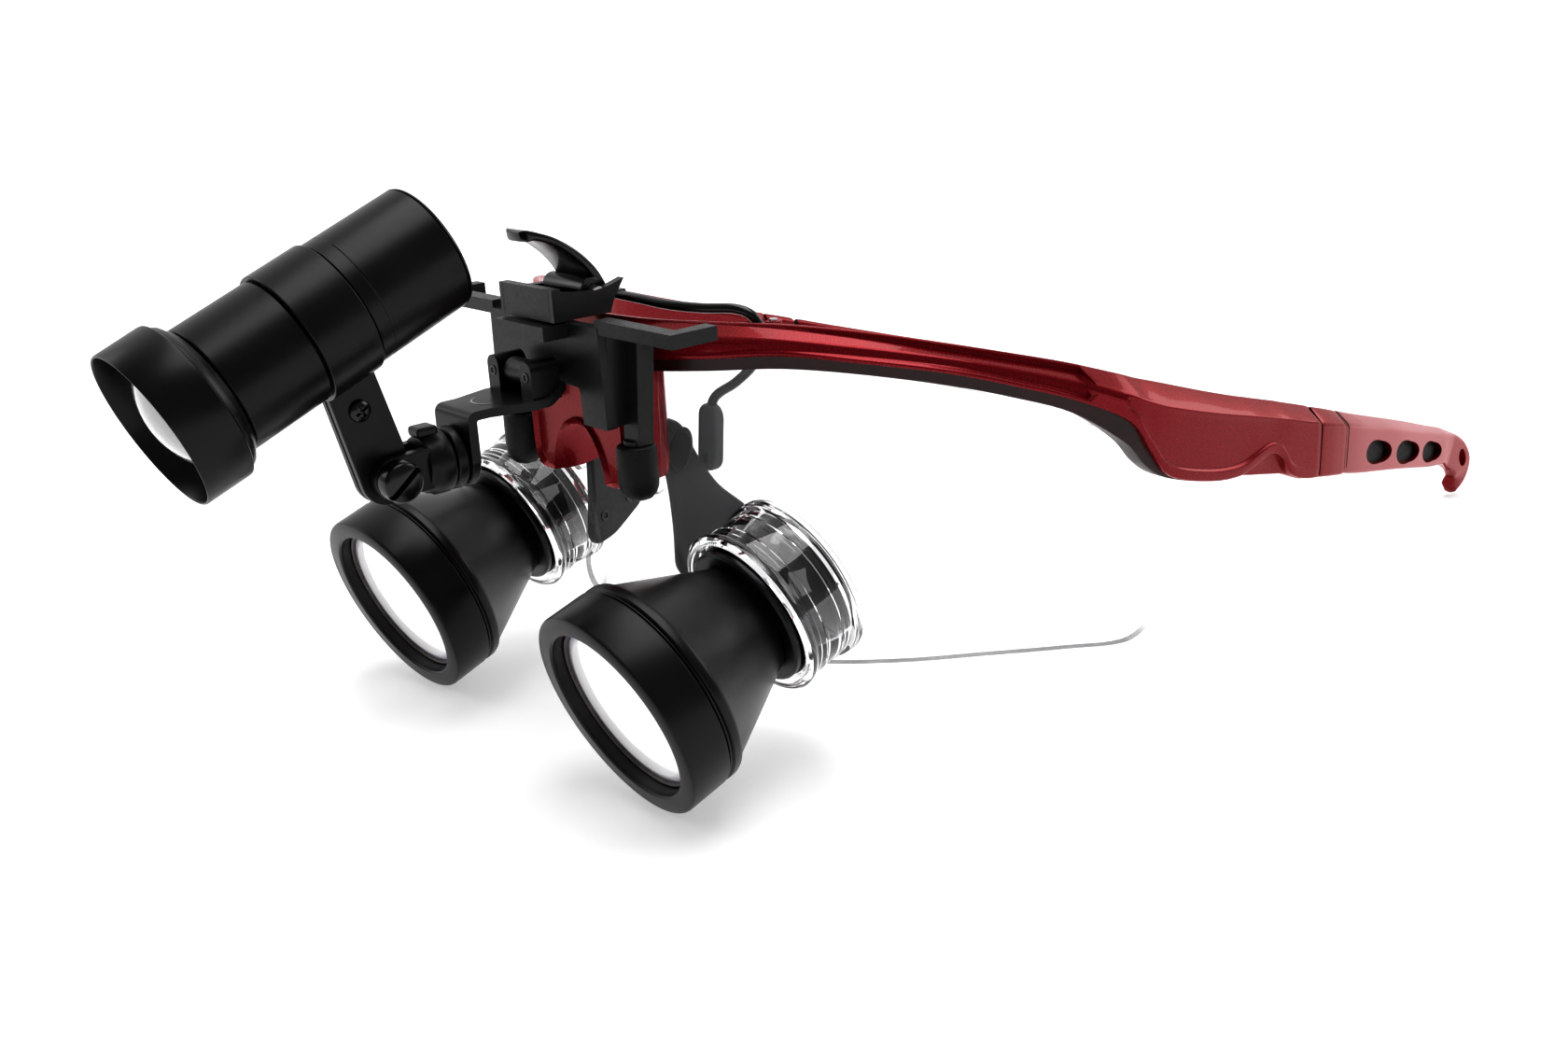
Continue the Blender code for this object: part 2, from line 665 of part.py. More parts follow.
def make_temple(side, word):
    joint = FOLD_JOINTS[side]
    collar_rings = [mirrored(temple_ring(*row), side) for row in COLLAR_SECTIONS]
    collar = loft("temple_collar_" + word, collar_rings, "red_paint", joint)
    reach = (SEAM_Y + 0.6, SEAM_Y + 3.0)
    join(collar, *knuckle("collar_knuckle_" + word, side, *COLLAR_KNUCKLE, reach))
    cut(collar, rod("collar_bore_" + word, HINGE_PIN_R + GAP, (side * HINGE_X, SEAM_Y, 0),
                    (0, 0, 1), 20, 50, up=(0, 1, 0), steps=SMALL_STEPS, tool=True))

    rings = [temple_ring(*row) for row in ARM_SECTIONS] + tip_rings()
    arm = loft("temple_" + word, [mirrored(ring, side) for ring in rings], "red_paint", joint)
    for number, hole in enumerate(TEMPLE_HOLES):
        cut(arm, oval_cutter("oval_cutter_%s_%d" % (word, number), side, *hole))
    rod("hinge_pin_" + word, HINGE_PIN_R, (side * HINGE_X, SEAM_Y, 0), (0, 0, 1), 30.2, 39.8,
        up=(0, 1, 0), steps=SMALL_STEPS, material="steel")


def oval_cutter(name, side, x, y, z, long_half, short_half, lean):
    """An oval prism through the temple, its long axis leaning with the band."""
    steps = 14
    lean = radians(lean)
    outline = []
    for i in range(steps):
        a = 2 * pi * i / steps
        u, v = long_half * cos(a), short_half * sin(a)
        outline.append((u * cos(lean) - v * sin(lean), u * sin(lean) + v * cos(lean)))
    frame = Matrix.Translation(Vector((side * x, y, z)) * MM) @ YZ_PLANE
    return outline_plate(name, outline, 14.0, frame, None, tool=True)


# ---------------------------------------------------------------- clip base

def make_clip_base():
    """The moulded plate in front of the bridge, with its posts, wings and hinge knuckle."""
    back = PLATE_Y + PLATE_THICKNESS
    base = box("clip_base", (-PLATE_HALF, PLATE_Y, PLATE_LOW), (PLATE_HALF, back, PLATE_TOP),
               "clip_plastic")
    arch = [(-9.4, 40), (9.4, 40)] + arc((6.4, 50.8), 3.0, 0, 90, 3)
    arch += arc((-6.4, 50.8), 3.0, 90, 180, 3)
    cut(base, outline_plate("bridge_clearance", arch, 12, shifted(XZ_PLANE, y=back), None,
                            tool=True))
    for side, word in SIDES:
        join(base, *clip_side(side, word))
    lip = box("tray_lip", (-6.2, 10.2, 61.2), (6.2, PLATE_Y + 0.5, PLATE_TOP), tool=True)
    barrel = rod("arm_knuckle", 1.95, ARM_PIVOT, (1, 0, 0), -2.6, 2.6, steps=SMALL_STEPS,
                 tool=True)
    bar = box("arm_knuckle_root", (-2.6, ARM_PIVOT[1], ARM_PIVOT[2] - 0.1),
              (2.6, PLATE_Y + 0.5, ARM_PIVOT[2] + 2.2), tool=True)
    join(base, lip, barrel, bar)
    cut(base, rod("arm_pin_bore", 1.1, ARM_PIVOT, (1, 0, 0), -8, 8, steps=SMALL_STEPS,
                  tool=True))
    return base


def clip_side(side, word):
    """One side wall, its post and its wing."""
    def span(name, x0, x1, y0, y1, z0, z1):
        low_x, high_x = sorted((side * x0, side * x1))
        return box(name + "_" + word, (low_x, y0, z0), (high_x, y1, z1), tool=True)

    back = PLATE_Y + PLATE_THICKNESS
    wall = span("side_wall", 11.9, PLATE_HALF, back - 0.4, 20.2, PLATE_LOW + 0.2, PLATE_TOP - 0.1)
    post = span("post_block", 12.3, 16.6, 16.8, 20.0, SLEEVE_TOP + GAP, PLATE_TOP - 0.3)
    pin = rod("post_pin_" + word, 1.7, (side * POST[0], POST[1], 0), (0, 0, 1),
              SLEEVE_LOW + 1.6, 50, up=(0, 1, 0), steps=SMALL_STEPS, tool=True)
    bar = span("wing_bar", PLATE_HALF - 0.5, WING_X, PLATE_Y + 0.1, PLATE_Y + 0.1 + WING_WIDTH,
               62.5, 64.5)
    hook = span("wing_hook", WING_X - WING_WIDTH, WING_X - 0.05, PLATE_Y + 0.3, WING_END_Y, 62.6, 64.4)
    return wall, post, pin, bar, hook


def make_post_sleeve(side, word):
    """A rubber cup over the end of a post, with a domed tip."""
    centre = (side * POST[0], POST[1], 0)
    dome = [(SLEEVE_R * cos(radians(a)), SLEEVE_LOW + 2.4 - 2.4 * sin(radians(a)))
            for a in (0, 30, 60)]
    profile = [(2.0, SLEEVE_TOP), (SLEEVE_R, SLEEVE_TOP)] + dome
    profile += [(0, SLEEVE_LOW), (0, SLEEVE_LOW + 1.3), (2.0, SLEEVE_LOW + 1.3)]
    turned("post_sleeve_" + word, profile, centre, (0, 0, 1), up=(0, 1, 0),
           material="black_rubber", steps=16)


def make_tray():
    """The open tray behind the lip: a floor, a front wall and two walls with hollowed tops."""
    floor = box("lever_tray", (-TRAY_HALF, TRAY_FRONT_Y, TRAY_LOW),
                (TRAY_HALF, TRAY_BACK_Y - 2.6, TRAY_LOW + 1.0), "clip_plastic")
    front = box("tray_front", (-TRAY_HALF + 0.02, TRAY_FRONT_Y + 0.02, TRAY_LOW + 0.5),
                (TRAY_HALF - 0.02, TRAY_FRONT_Y + 1.4, TRAY_TOP), tool=True)
    join(floor, front)
    wall = [(TRAY_FRONT_Y + 0.04, TRAY_LOW + 0.3), (TRAY_BACK_Y - 2.8, TRAY_LOW + 0.3),
            (TRAY_BACK_Y, TRAY_TOP - 0.1), (TRAY_BACK_Y - 3.0, TRAY_TOP - 0.8),
            (TRAY_BACK_Y - 6.0, TRAY_TOP - 1.1), (TRAY_BACK_Y - 9.2, TRAY_TOP - 0.8),
            (TRAY_FRONT_Y + 0.04, TRAY_TOP - 0.04)]
    for side, word in SIDES:
        plane = shifted(YZ_PLANE, x=side * (TRAY_HALF - 0.65))
        join(floor, outline_plate("tray_wall_" + word, wall, 1.2, plane, None, tool=True))
    cut(floor, rod("lever_pin_bore", 1.1, CLIP_PIVOT, (1, 0, 0), -9, 9, steps=SMALL_STEPS,
                   tool=True))
    return floor


# ---------------------------------------------------------------- release lever and spring wires

# The thumb tongue from its root to its tip: y, z, half width, thickness
LEVER_SECTIONS = ((20.6, 66.9, 4.9, 1.6), (20.2, 69.6, 4.8, 1.4), (18.0, 72.0, 4.4, 1.3),
                  (15.2, 74.0, 3.6, 1.2), (12.9, 75.1, 2.7, 1.2), (11.5, 75.4, 1.5, 1.0))
WIRE_ROUTE = ((5.4, 25.6, 65.4), (8.6, 26.2, 65.0), (13.0, 27.4, 64.5), (18.0, 29.6, 64.2),
              (22.6, 31.9, 64.2), (24.9, 33.2, 63.1), (25.3, 33.9, 60.6), (24.2, 33.6, 56.6),
              (21.0, 32.6, 53.4), (17.8, 31.8, 51.4), (16.1, 31.6, 50.1))
PAD_CENTRE = (15.4, 31.6, 44.5)
PAD_HALF_WIDTH = 2.3
PAD_HALF_HEIGHT = 5.0
LEVER_HUB_R = 2.0


def make_lever():
    rings = []
    line = [Vector((0, row[0], row[1])) for row in LEVER_SECTIONS]
    for i, (y, z, half, thick) in enumerate(LEVER_SECTIONS):
        ahead = line[min(i + 1, len(line) - 1)] - line[max(i - 1, 0)]
        normal = Vector((0, -ahead.z, ahead.y)).normalized() * (thick / 2)
        centre = Vector((0, y, z))
        across = Vector((half, 0, 0))
        trim = Vector((half * 0.86, 0, 0))
        rings.append([centre - across, centre - trim - normal, centre + trim - normal,
                      centre + across, centre + trim + normal, centre - trim + normal])
    lever = loft("clip_lever", rings, "black_metal", CLIP_JOINT)
    hub = rod("lever_hub", LEVER_HUB_R, CLIP_PIVOT, (1, 0, 0), -5.1, 5.1, steps=SMALL_STEPS,
              tool=True)
    tail = box("lever_tail", (-5.0, CLIP_PIVOT[1], CLIP_PIVOT[2] - 1.8),
               (5.0, WIRE_ROUTE[0][1] + 0.6, CLIP_PIVOT[2] - 0.6), tool=True)
    join(lever, hub, tail)
    cut(lever, rod("lever_bore", 1.1, CLIP_PIVOT, (1, 0, 0), -9, 9, steps=SMALL_STEPS,
                   tool=True))
    rod("lever_pin", 0.8, CLIP_PIVOT, (1, 0, 0), -6.8, 6.8, steps=SMALL_STEPS, material="steel")
    return lever


def make_spring(side, word):
    """A round spring wire behind the brow, with a flat rounded pad on its end."""
    route = [(side * x, y, z) for x, y, z in WIRE_ROUTE]
    wire("spring_wire_" + word, route, WIRE_R, "black_metal", CLIP_JOINT)
    rounding = PAD_HALF_WIDTH
    straight = PAD_HALF_HEIGHT - rounding
    outline = arc((0, straight), rounding, 0, 180, 6) + arc((0, -straight), rounding, 180, 360, 6)
    frame = shifted(XZ_PLANE, side * PAD_CENTRE[0], PAD_CENTRE[1], PAD_CENTRE[2])
    outline_plate("spring_pad_" + word, outline, 1.3, frame, "black_rubber", CLIP_JOINT)


# ---------------------------------------------------------------- lamp arm

def make_arm():
    """The bent sheet that hangs the lamp: a tab in front, a flat top and a rising root."""
    under = ARM_TOP - ARM_THICKNESS
    side_view = [(-2.0, SWIVEL_POINT[2]), (-0.5, SWIVEL_POINT[2]), (-0.5, under), (10.6, under),
                 (13.2, under + 1.9), (13.2, under + 3.2), (10.2, ARM_TOP), (-1.4, ARM_TOP),
                 (-2.0, ARM_TOP - 0.6)]
    arm = outline_plate("lamp_arm", side_view, 9.2, YZ_PLANE, "black_anodised", ARM_JOINT)
    disc = rod("tab_disc", SWIVEL_R, (0, 0, SWIVEL_POINT[2]), (0, 1, 0), -2.0, -0.5,
               tool=True, steps=20)
    root = [(4.9, under)] + side_view[3:7] + [(4.9, ARM_TOP)]
    wide = outline_plate("arm_root", root, 12.0, YZ_PLANE, None, tool=True)
    join(arm, disc, wide)
    y, z = ARM_PIVOT[1], ARM_PIVOT[2]
    for side, word in SIDES:
        lug = [(side * 4.3 - 1.45, ARM_TOP - 0.4), (side * 4.3 + 1.45, ARM_TOP - 0.4)]
        lug += arc((side * 4.3, z + 0.9), 1.45, 0, 180, 6)
        join(arm, outline_plate("arm_lug_" + word, lug, 4.8, shifted(XZ_PLANE, y=y - 0.1), None,
                                tool=True))
        cut(arm, rod("set_screw_hole_" + word, 0.6, (side * 4.3, y - 2.5, z), (0, 1, 0), -1, 1.1,
                     steps=8, tool=True))
    cut(arm, rod("arm_lug_bore", 1.1, ARM_PIVOT, (1, 0, 0), -9, 9, steps=SMALL_STEPS,
                 tool=True),
        rod("tab_bore", 1.5, (0, 0, SWIVEL_POINT[2]), (0, 1, 0), -6, 3, steps=SMALL_STEPS,
            tool=True))
    rod("arm_pin", 0.8, ARM_PIVOT, (1, 0, 0), -5.4, 5.4, steps=SMALL_STEPS, material="steel")
    z = SWIVEL_POINT[2]
    turned("swivel_washer", [(SWIVEL_R - 0.1, -2.3), (SWIVEL_R - 0.1, -4.0), (1.5, -4.0),
                             (1.5, -2.3)], (0, 0, z), (0, 1, 0), material="black_anodised",
           joint=ARM_JOINT, steps=20)
    return arm


def make_fork():
    """The swivel hub with the two cheeks that hold the lamp clamp."""
    z = SWIVEL_POINT[2]
    hub_front, hub_back = -8.0, -4.3
    fork = rod("lamp_fork", SWIVEL_R, (0, 0, z), (0, 1, 0), hub_front, hub_back,
               material="black_anodised", joint=SWIVEL_JOINT, steps=20)
    front = TILT_PIVOT[1]
    half = 2.9
    cheek = arc((front, TILT_PIVOT[2]), half, 90, 270, 6) + [(-6.5, z - half), (-6.5, z + half)]
    for side, word in SIDES:
        plane = shifted(YZ_PLANE, x=side * (FORK_GAP_HALF + FORK_HALF) / 2)
        thick = FORK_HALF - FORK_GAP_HALF
        join(fork, outline_plate("fork_cheek_" + word, cheek, thick, plane, None, tool=True))
    cut(fork, rod("fork_bore", 1.5, TILT_PIVOT, (1, 0, 0), -9, 9, steps=SMALL_STEPS, tool=True),
        rod("hub_bore", 1.5, (0, 0, z), (0, 1, 0), -6.5, 0, steps=SMALL_STEPS, tool=True))
    solid_turned("swivel_rivet", [(0, 0.9), (1.6, 0.7), (2.2, 0.2), (2.2, -0.2), (1.2, -0.2),
                                  (1.2, -6.2), (0, -6.2)], (0, 0, z), (0, 1, 0), material="steel",
                 joint=SWIVEL_JOINT, steps=SMALL_STEPS)
    return fork


# ---------------------------------------------------------------- lamp

LAMP_DIRECTION = (0.0, cos(LAMP_TILT), sin(LAMP_TILT))
SCREW_STATION = 24.0
SCREW_DROP = 12.9


def lamp_point(station, drop):
    """A point in the middle plane: station along the lamp, drop below its axis."""
    front = Vector(LAMP_FRONT)
    along = Vector(LAMP_DIRECTION)
    down = Vector((0, sin(LAMP_TILT), -cos(LAMP_TILT)))
    return front + along * station + down * drop


def lamp_ring(name, profile, material):
    return turned(name, profile, LAMP_FRONT, LAMP_DIRECTION, material=material, joint=TILT_JOINT)


def lamp_disc(name, profile, material):
    return solid_turned(name, profile, LAMP_FRONT, LAMP_DIRECTION, material=material,
                        joint=TILT_JOINT)


def make_lamp():
    lamp_ring("lamp_hood", [
        (BARREL_R + 0.2, HOOD_LENGTH), (9.6, HOOD_LENGTH - 0.6), (HOOD_R, HOOD_LENGTH - 1.9),
        (HOOD_R, 0.3), (HOOD_R - 0.2, 0), (10.5, 0), (10.2, 0.5), (9.8, 4.6), (7.2, 6.2),
        (7.2, HOOD_LENGTH)], "black_anodised")
    lamp_disc("lamp_lens", [
        (0, 8.2), (6.9, 8.0), (6.9, 6.4), (5.0, 5.2), (2.6, 4.4), (0, 4.1)], "optical_glass")
    start = HOOD_LENGTH + GAP
    lamp_ring("lamp_barrel", [
        (8.2, 36.0), (8.2, CLAMP_START - GAP), (BARREL_R, CLAMP_START - GAP),
        (BARREL_R, start), (7.4, start), (7.4, 36.0)], "black_anodised")
    lamp_disc("led_module", [
        (0, 17.0), (7.1, 17.0), (7.1, 13.6), (2.4, 13.6), (1.6, 12.4), (0, 12.0)], "led_board")
    rear = CLAMP_END + GAP
    lamp_ring("lamp_rear_body", [
        (REAR_R, LAMP_END - 0.9), (REAR_R, rear), (8.5, rear), (8.5, LAMP_END - 0.9)],
        "black_anodised")
    lamp_disc("lamp_end_cap", [
        (0, LAMP_END + 2.2), (1.3, LAMP_END + 2.2), (1.3, LAMP_END + 1.2),
        (2.1, LAMP_END + 1.2), (2.1, LAMP_END), (REAR_R - 0.3, LAMP_END),
        (REAR_R, LAMP_END - 0.3), (REAR_R, LAMP_END - 0.6), (0, LAMP_END - 0.6)],
        "black_anodised")
    make_clamp()


def make_clamp():
    """The split clamp: a ring round the barrel with two ears down to the tilt pivot."""
    clamp = lamp_ring("lamp_clamp", [
        (CLAMP_R, CLAMP_END), (CLAMP_R, CLAMP_START), (8.5, CLAMP_START), (8.5, CLAMP_END)],
        "black_anodised")
    pivot = Vector(TILT_PIVOT)
    outline = [lamp_point(28.4, 8.75), lamp_point(21.2, 8.75)]
    reach = 3.9
    outline += [pivot + Vector((0, -reach * cos(a), -reach * sin(a)))
                for a in (radians(d) for d in (20, 50, 80, 110, 140, 160))]
    flat = [(point.y, point.z) for point in outline]
    ears = outline_plate("clamp_ears", flat, 2 * EAR_HALF, YZ_PLANE, None, TILT_JOINT, tool=True)
    join(clamp, ears)
    top, low = lamp_point(24.8, 7.5), lamp_point(23.4, 18.6)
    slit = [top + Vector((0, -8, -3)), low + Vector((0, -8, -3)), low + Vector((0, 8, 3)),
            top + Vector((0, 8, 3))]
    slit_plate = outline_plate("clamp_slit", [(p.y, p.z) for p in slit], 0.4, YZ_PLANE, None,
                               TILT_JOINT, tool=True)
    screw_at = lamp_point(SCREW_STATION, SCREW_DROP)
    cut(clamp, slit_plate,
        rod("clamp_pivot_bore", 1.5, TILT_PIVOT, (1, 0, 0), -9, 9, steps=SMALL_STEPS,
            joint=TILT_JOINT, tool=True),
        rod("clamp_screw_bore", 0.9, screw_at, (1, 0, 0), -9, 9, steps=SMALL_STEPS,
            joint=TILT_JOINT, tool=True),
        rod("clamp_screw_recess", 2.0, screw_at, (1, 0, 0), 0.55, 9, steps=SMALL_STEPS,
            joint=TILT_JOINT, tool=True))
    solid_turned("clamp_screw", [(0, 1.3), (1.6, 1.3), (1.7, 0.85), (0.6, 0.85), (0.6, -1.3),
                                 (0, -1.3)], screw_at, (1, 0, 0), material="black_metal",
                 joint=TILT_JOINT, steps=SMALL_STEPS)
    head = FORK_HALF + GAP
    screw = solid_turned("pivot_screw", [
        (0, head + 2.6), (2.7, head + 2.6), (2.9, head + 2.3), (2.9, head), (1.2, head),
        (1.2, -5.4), (0, -5.4)], TILT_PIVOT, (1, 0, 0), material="black_metal",
        joint=SWIVEL_JOINT, steps=20)
    slot = [(-4, -0.45), (4, -0.45), (4, 0.45), (-4, 0.45)]
    lean = Matrix.Rotation(radians(38), 4, "X")
    slot_frame = Matrix.Translation(Vector((head + 2.9, *TILT_PIVOT[1:])) * MM) @ lean @ YZ_PLANE
    cut(screw, outline_plate("screw_slot", slot, 1.9, slot_frame, None, SWIVEL_JOINT, tool=True))
    turned("pivot_nut", [(2.3, -head), (2.4, -head - 0.2), (2.4, -head - 1.7), (1.5, -head - 1.7),
                         (1.5, -head)], TILT_PIVOT, (1, 0, 0), material="black_metal",
           joint=SWIVEL_JOINT, steps=SMALL_STEPS)


# ---------------------------------------------------------------- assembly

def build():
    make_front_frame()
    for side, word in SIDES:
        make_shield(side, word)
        make_nose_pad(side, word)
        make_temple(side, word)
        make_loupe(side, word)
        make_post_sleeve(side, word)
        make_spring(side, word)
    make_clip_base()
    make_tray()
    make_lever()
    make_arm()
    make_fork()
    make_lamp()


build()
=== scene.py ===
"""Looks of the dental loupes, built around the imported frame.

Lengths are in millimetres in the magnifiers' own frame (their front faces at y = 0, the resting
surface at z = 0) and become row-frame metres through place().
"""

import json
from math import cos, pi, radians, sin

import bmesh
import bpy
from mathutils import Matrix, Vector


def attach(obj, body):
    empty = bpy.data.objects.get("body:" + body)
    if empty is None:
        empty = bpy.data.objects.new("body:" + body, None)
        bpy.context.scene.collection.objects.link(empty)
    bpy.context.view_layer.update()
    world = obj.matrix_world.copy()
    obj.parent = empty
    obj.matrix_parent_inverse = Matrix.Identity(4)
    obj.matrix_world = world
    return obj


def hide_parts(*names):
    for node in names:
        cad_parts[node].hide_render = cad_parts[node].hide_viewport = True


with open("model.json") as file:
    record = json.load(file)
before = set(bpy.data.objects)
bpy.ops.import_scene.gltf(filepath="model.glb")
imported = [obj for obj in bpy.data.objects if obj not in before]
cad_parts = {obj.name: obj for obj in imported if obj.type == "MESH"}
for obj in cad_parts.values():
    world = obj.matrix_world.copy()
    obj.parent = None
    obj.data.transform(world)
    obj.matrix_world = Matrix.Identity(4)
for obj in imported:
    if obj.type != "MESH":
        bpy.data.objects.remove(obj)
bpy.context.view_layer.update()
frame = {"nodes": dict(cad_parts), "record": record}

MM = 0.001
TURN_STEPS = 112
SMALL_STEPS = 48
SMALL_R = 3.0

CORNER_SHARE = 0.45
X, Y, Z = (1, 0, 0), (0, 1, 0), (0, 0, 1)
PLANES = {"yz": (Y, Z, X), "xz": (X, Z, (0, -1, 0)), "xy": (X, Y, Z)}

# Distances shared with the CAD
LAMP_FRONT = (0.0, -43.2, 58.9)
LAMP_TILT = radians(22.5)
HOOD_R = 11.15
TEMPLE_BACK_Y = 203.87
FACE_Y = -(LAMP_FRONT[1] - HOOD_R * sin(LAMP_TILT) + TEMPLE_BACK_Y) / 2
DECLINATION = radians(18.7)
CONVERGENCE = radians(2.0)
PUPIL_DISTANCE = 61.3
BEZEL_R = 16.0
SEAM_Y = 110.6
HINGE_X = 61.9
GAP = 0.3
WRAP_CENTRE_Y = 88.0
TILT_PIVOT = (0.0, -13.2, 46.3)
SWIVEL_Z = 46.5
ARM_PIVOT = (0.0, 10.5, 56.2)
CLIP_PIVOT = (0.0, 20.0, 66.9)

RECORD = frame["record"]
BODY_OF = {node: body for body, nodes in RECORD["behaviour"]["bodies"].items() for node in nodes}
SLOT_OF = {entry["node"]: entry["material_slot"] for entry in RECORD["subparts"]}
SIDES = ((1, "left"), (-1, "right"))


def place(point):
    """A point of the magnifiers' frame, in row-frame metres."""
    return Vector((point[0], point[1] + FACE_Y, point[2])) * MM


# ---- materials

def set_range(node, *values):
    for socket, value in zip(("From Min", "From Max", "To Min", "To Max"), values):
        node.inputs[socket].default_value = value


class Nodes:
    """A short way to wire one procedural material."""

    def __init__(self, name):
        self.material = bpy.data.materials.new(name)
        self.material.use_nodes = True
        self.tree = self.material.node_tree
        self.shader = self.tree.nodes["Principled BSDF"]
        self.coords = self.add("ShaderNodeTexCoord").outputs["Object"]

    def add(self, kind, **settings):
        node = self.tree.nodes.new(kind)
        for key, value in settings.items():
            setattr(node, key, value)
        return node

    def link(self, source, target):
        self.tree.links.new(source, target)

    def noise(self, scale, detail):
        node = self.add("ShaderNodeTexNoise")
        node.inputs["Scale"].default_value = scale
        node.inputs["Detail"].default_value = detail
        self.link(self.coords, node.inputs["Vector"])
        return node.outputs["Fac"]

    def ramp(self, factor, low, high, start=0.3, end=0.7):
        node = self.add("ShaderNodeValToRGB")
        for stop, position, colour in zip(node.color_ramp.elements, (start, end), (low, high)):
            stop.position = position
            stop.color = (*colour, 1)
        self.link(factor, node.inputs["Fac"])
        return node.outputs["Color"]

    def span(self, factor, low, high, start=0.3, end=0.7):
        node = self.add("ShaderNodeMapRange")
        set_range(node, start, end, low, high)
        self.link(factor, node.inputs["Value"])
        return node.outputs["Result"]

    def bump(self, height, distance, strength):
        node = self.add("ShaderNodeBump")
        node.inputs["Distance"].default_value = distance
        node.inputs["Strength"].default_value = strength
        self.link(height, node.inputs["Height"])
        return node.outputs["Normal"]

    def set(self, **values):
        for key, value in values.items():
            socket = self.shader.inputs[key.replace("_", " ")]
            if isinstance(value, bpy.types.NodeSocket):
                self.link(value, socket)
            else:
                socket.default_value = value
        return self.material


def red_paint():
    n = Nodes("red_metallic_paint")
    flakes = n.noise(7000, 1.0)
    cloud = n.noise(38, 2.0)
    colour = n.ramp(flakes, (0.135, 0.0016, 0.0045), (0.245, 0.0045, 0.0105), 0.35, 0.72)
    shade = n.add("ShaderNodeMix", data_type="RGBA", blend_type="MULTIPLY")
    shade.inputs["Factor"].default_value = 0.5
    n.link(colour, shade.inputs["A"])
    n.link(n.ramp(cloud, (0.80, 0.80, 0.80), (1.0, 1.0, 1.0)), shade.inputs["B"])
    n.set(Base_Color=shade.outputs["Result"], Metallic=0.5, Specular_IOR_Level=0.3,
          Specular_Tint=(1.0, 0.20, 0.24, 1.0), Roughness=n.span(flakes, 0.20, 0.30),
          Coat_Weight=0.2, Coat_Roughness=0.02)
    return n.set(Normal=n.bump(flakes, 0.000002, 0.2))


def finish(name, cloud, low, high, rough, grain=None, bump=None, grain_rough=False, **fixed):
    """A finish from two noises, each (scale, detail): cloud gives the colour between low and
    high, grain (or cloud again) the bump of (distance, strength)."""
    n = Nodes(name)
    tint = n.noise(*cloud)
    fine = n.noise(*grain) if grain else tint
    n.set(Base_Color=n.ramp(tint, low, high),
          Roughness=n.span(fine if grain_rough else tint, *rough), **fixed)
    if bump:
        n.set(Normal=n.bump(fine, *bump))
    return n.material


def rubber(name, low, high, gloss=0.25):
    return finish(name, (110, 3.0), low, high, (0.46, 0.62), (1900, 4.0), (0.00003, 0.5), True,
                  Specular_IOR_Level=gloss)


def shield_rim_shade():
    """A cut edge with painted shade: dark where it faces up or down, and nearly clear elsewhere."""
    n = Nodes("shield_rim_painted_shade")
    haze = n.noise(260, 2.0)
    facing = n.add("ShaderNodeSeparateXYZ")
    n.link(n.add("ShaderNodeNewGeometry").outputs["Normal"], facing.inputs["Vector"])
    upright = n.add("ShaderNodeMath", operation="ABSOLUTE")
    n.link(facing.outputs["Z"], upright.inputs[0])
    return n.set(Base_Color=n.ramp(haze, (0.03, 0.03, 0.035), (0.09, 0.09, 0.10)),
                 Roughness=n.span(haze, 0.15, 0.3),
                 Alpha=n.span(upright.outputs["Value"], 0.06, 0.80, 0.45, 0.90))


def objective_painted_reflection():
    """Coated glass painted near white with a painted glow, a painted reflection of the bright
    surroundings; towards its rim it turns darker violet.
    """
    n = Nodes("objective_painted_reflection")
    haze = n.noise(18, 2.0)
    centre = n.add("ShaderNodeVectorMath", operation="LENGTH")
    flat = n.add("ShaderNodeMapping")
    flat.inputs["Scale"].default_value = (1.0, 1.0, 0.0)
    n.link(n.coords, flat.inputs["Vector"])
    n.link(flat.outputs["Vector"], centre.inputs[0])
    fringe = n.span(centre.outputs["Value"], 0.0, 1.0, 0.0108, 0.0125)
    colour = n.ramp(fringe, (0.97, 0.97, 0.975), (0.30, 0.26, 0.38), 0.1, 0.95)
    return n.set(Base_Color=colour, Roughness=n.span(haze, 0.03, 0.07), Coat_Weight=1.0,
                 Coat_Roughness=0.02, Emission_Color=colour, Emission_Strength=0.42)


RED = red_paint()
# The brow's underside groove band, painted dark brown as painted shade.
GROOVE_SHADE = finish("groove_band_painted_shade", (420, 3.0), (0.012, 0.002, 0.002), (0.028, 0.005, 0.006),
              (0.34, 0.46), bump=(0.00002, 0.3), Specular_IOR_Level=0.25, Coat_Weight=0.08,
              Coat_Roughness=0.15)
ANODISED = finish("black_anodised_aluminium", (60, 3.0), (0.0016, 0.0016, 0.0018),
                  (0.0032, 0.0032, 0.0034), (0.27, 0.35), (2600, 2.0), (0.000012, 0.5),
                  Specular_IOR_Level=0.22)
GLOSS = finish("black_coated_steel", (140, 3.0), (0.0016, 0.0016, 0.0018),
               (0.0035, 0.0035, 0.0038), (0.16, 0.26), (700, 2.0), (0.00001, 0.4),
               Specular_IOR_Level=0.38)
PLASTIC = finish("moulded_clip_plastic", (70, 3.0), (0.0030, 0.0032, 0.0036),
                 (0.0056, 0.0059, 0.0064), (0.34, 0.46), (1500, 3.0), (0.00002, 0.5), True,
                 Specular_IOR_Level=0.30)
SLEEVE = rubber("sleeve_rubber", (0.0022, 0.0022, 0.0024), (0.0050, 0.0050, 0.0054))
# painted shade: dark cores in the seams and dark walls inside the temple holes
SEAM_HOLE_SHADE = rubber("seam_and_hole_painted_shade", (0.0006, 0.0005, 0.0005), (0.0014, 0.0012, 0.0012), 0.05)
NOSE = rubber("nose_pad_rubber", (0.014, 0.015, 0.016), (0.026, 0.027, 0.029))
PAD = rubber("spring_pad_rubber", (0.022, 0.023, 0.024), (0.040, 0.041, 0.043))
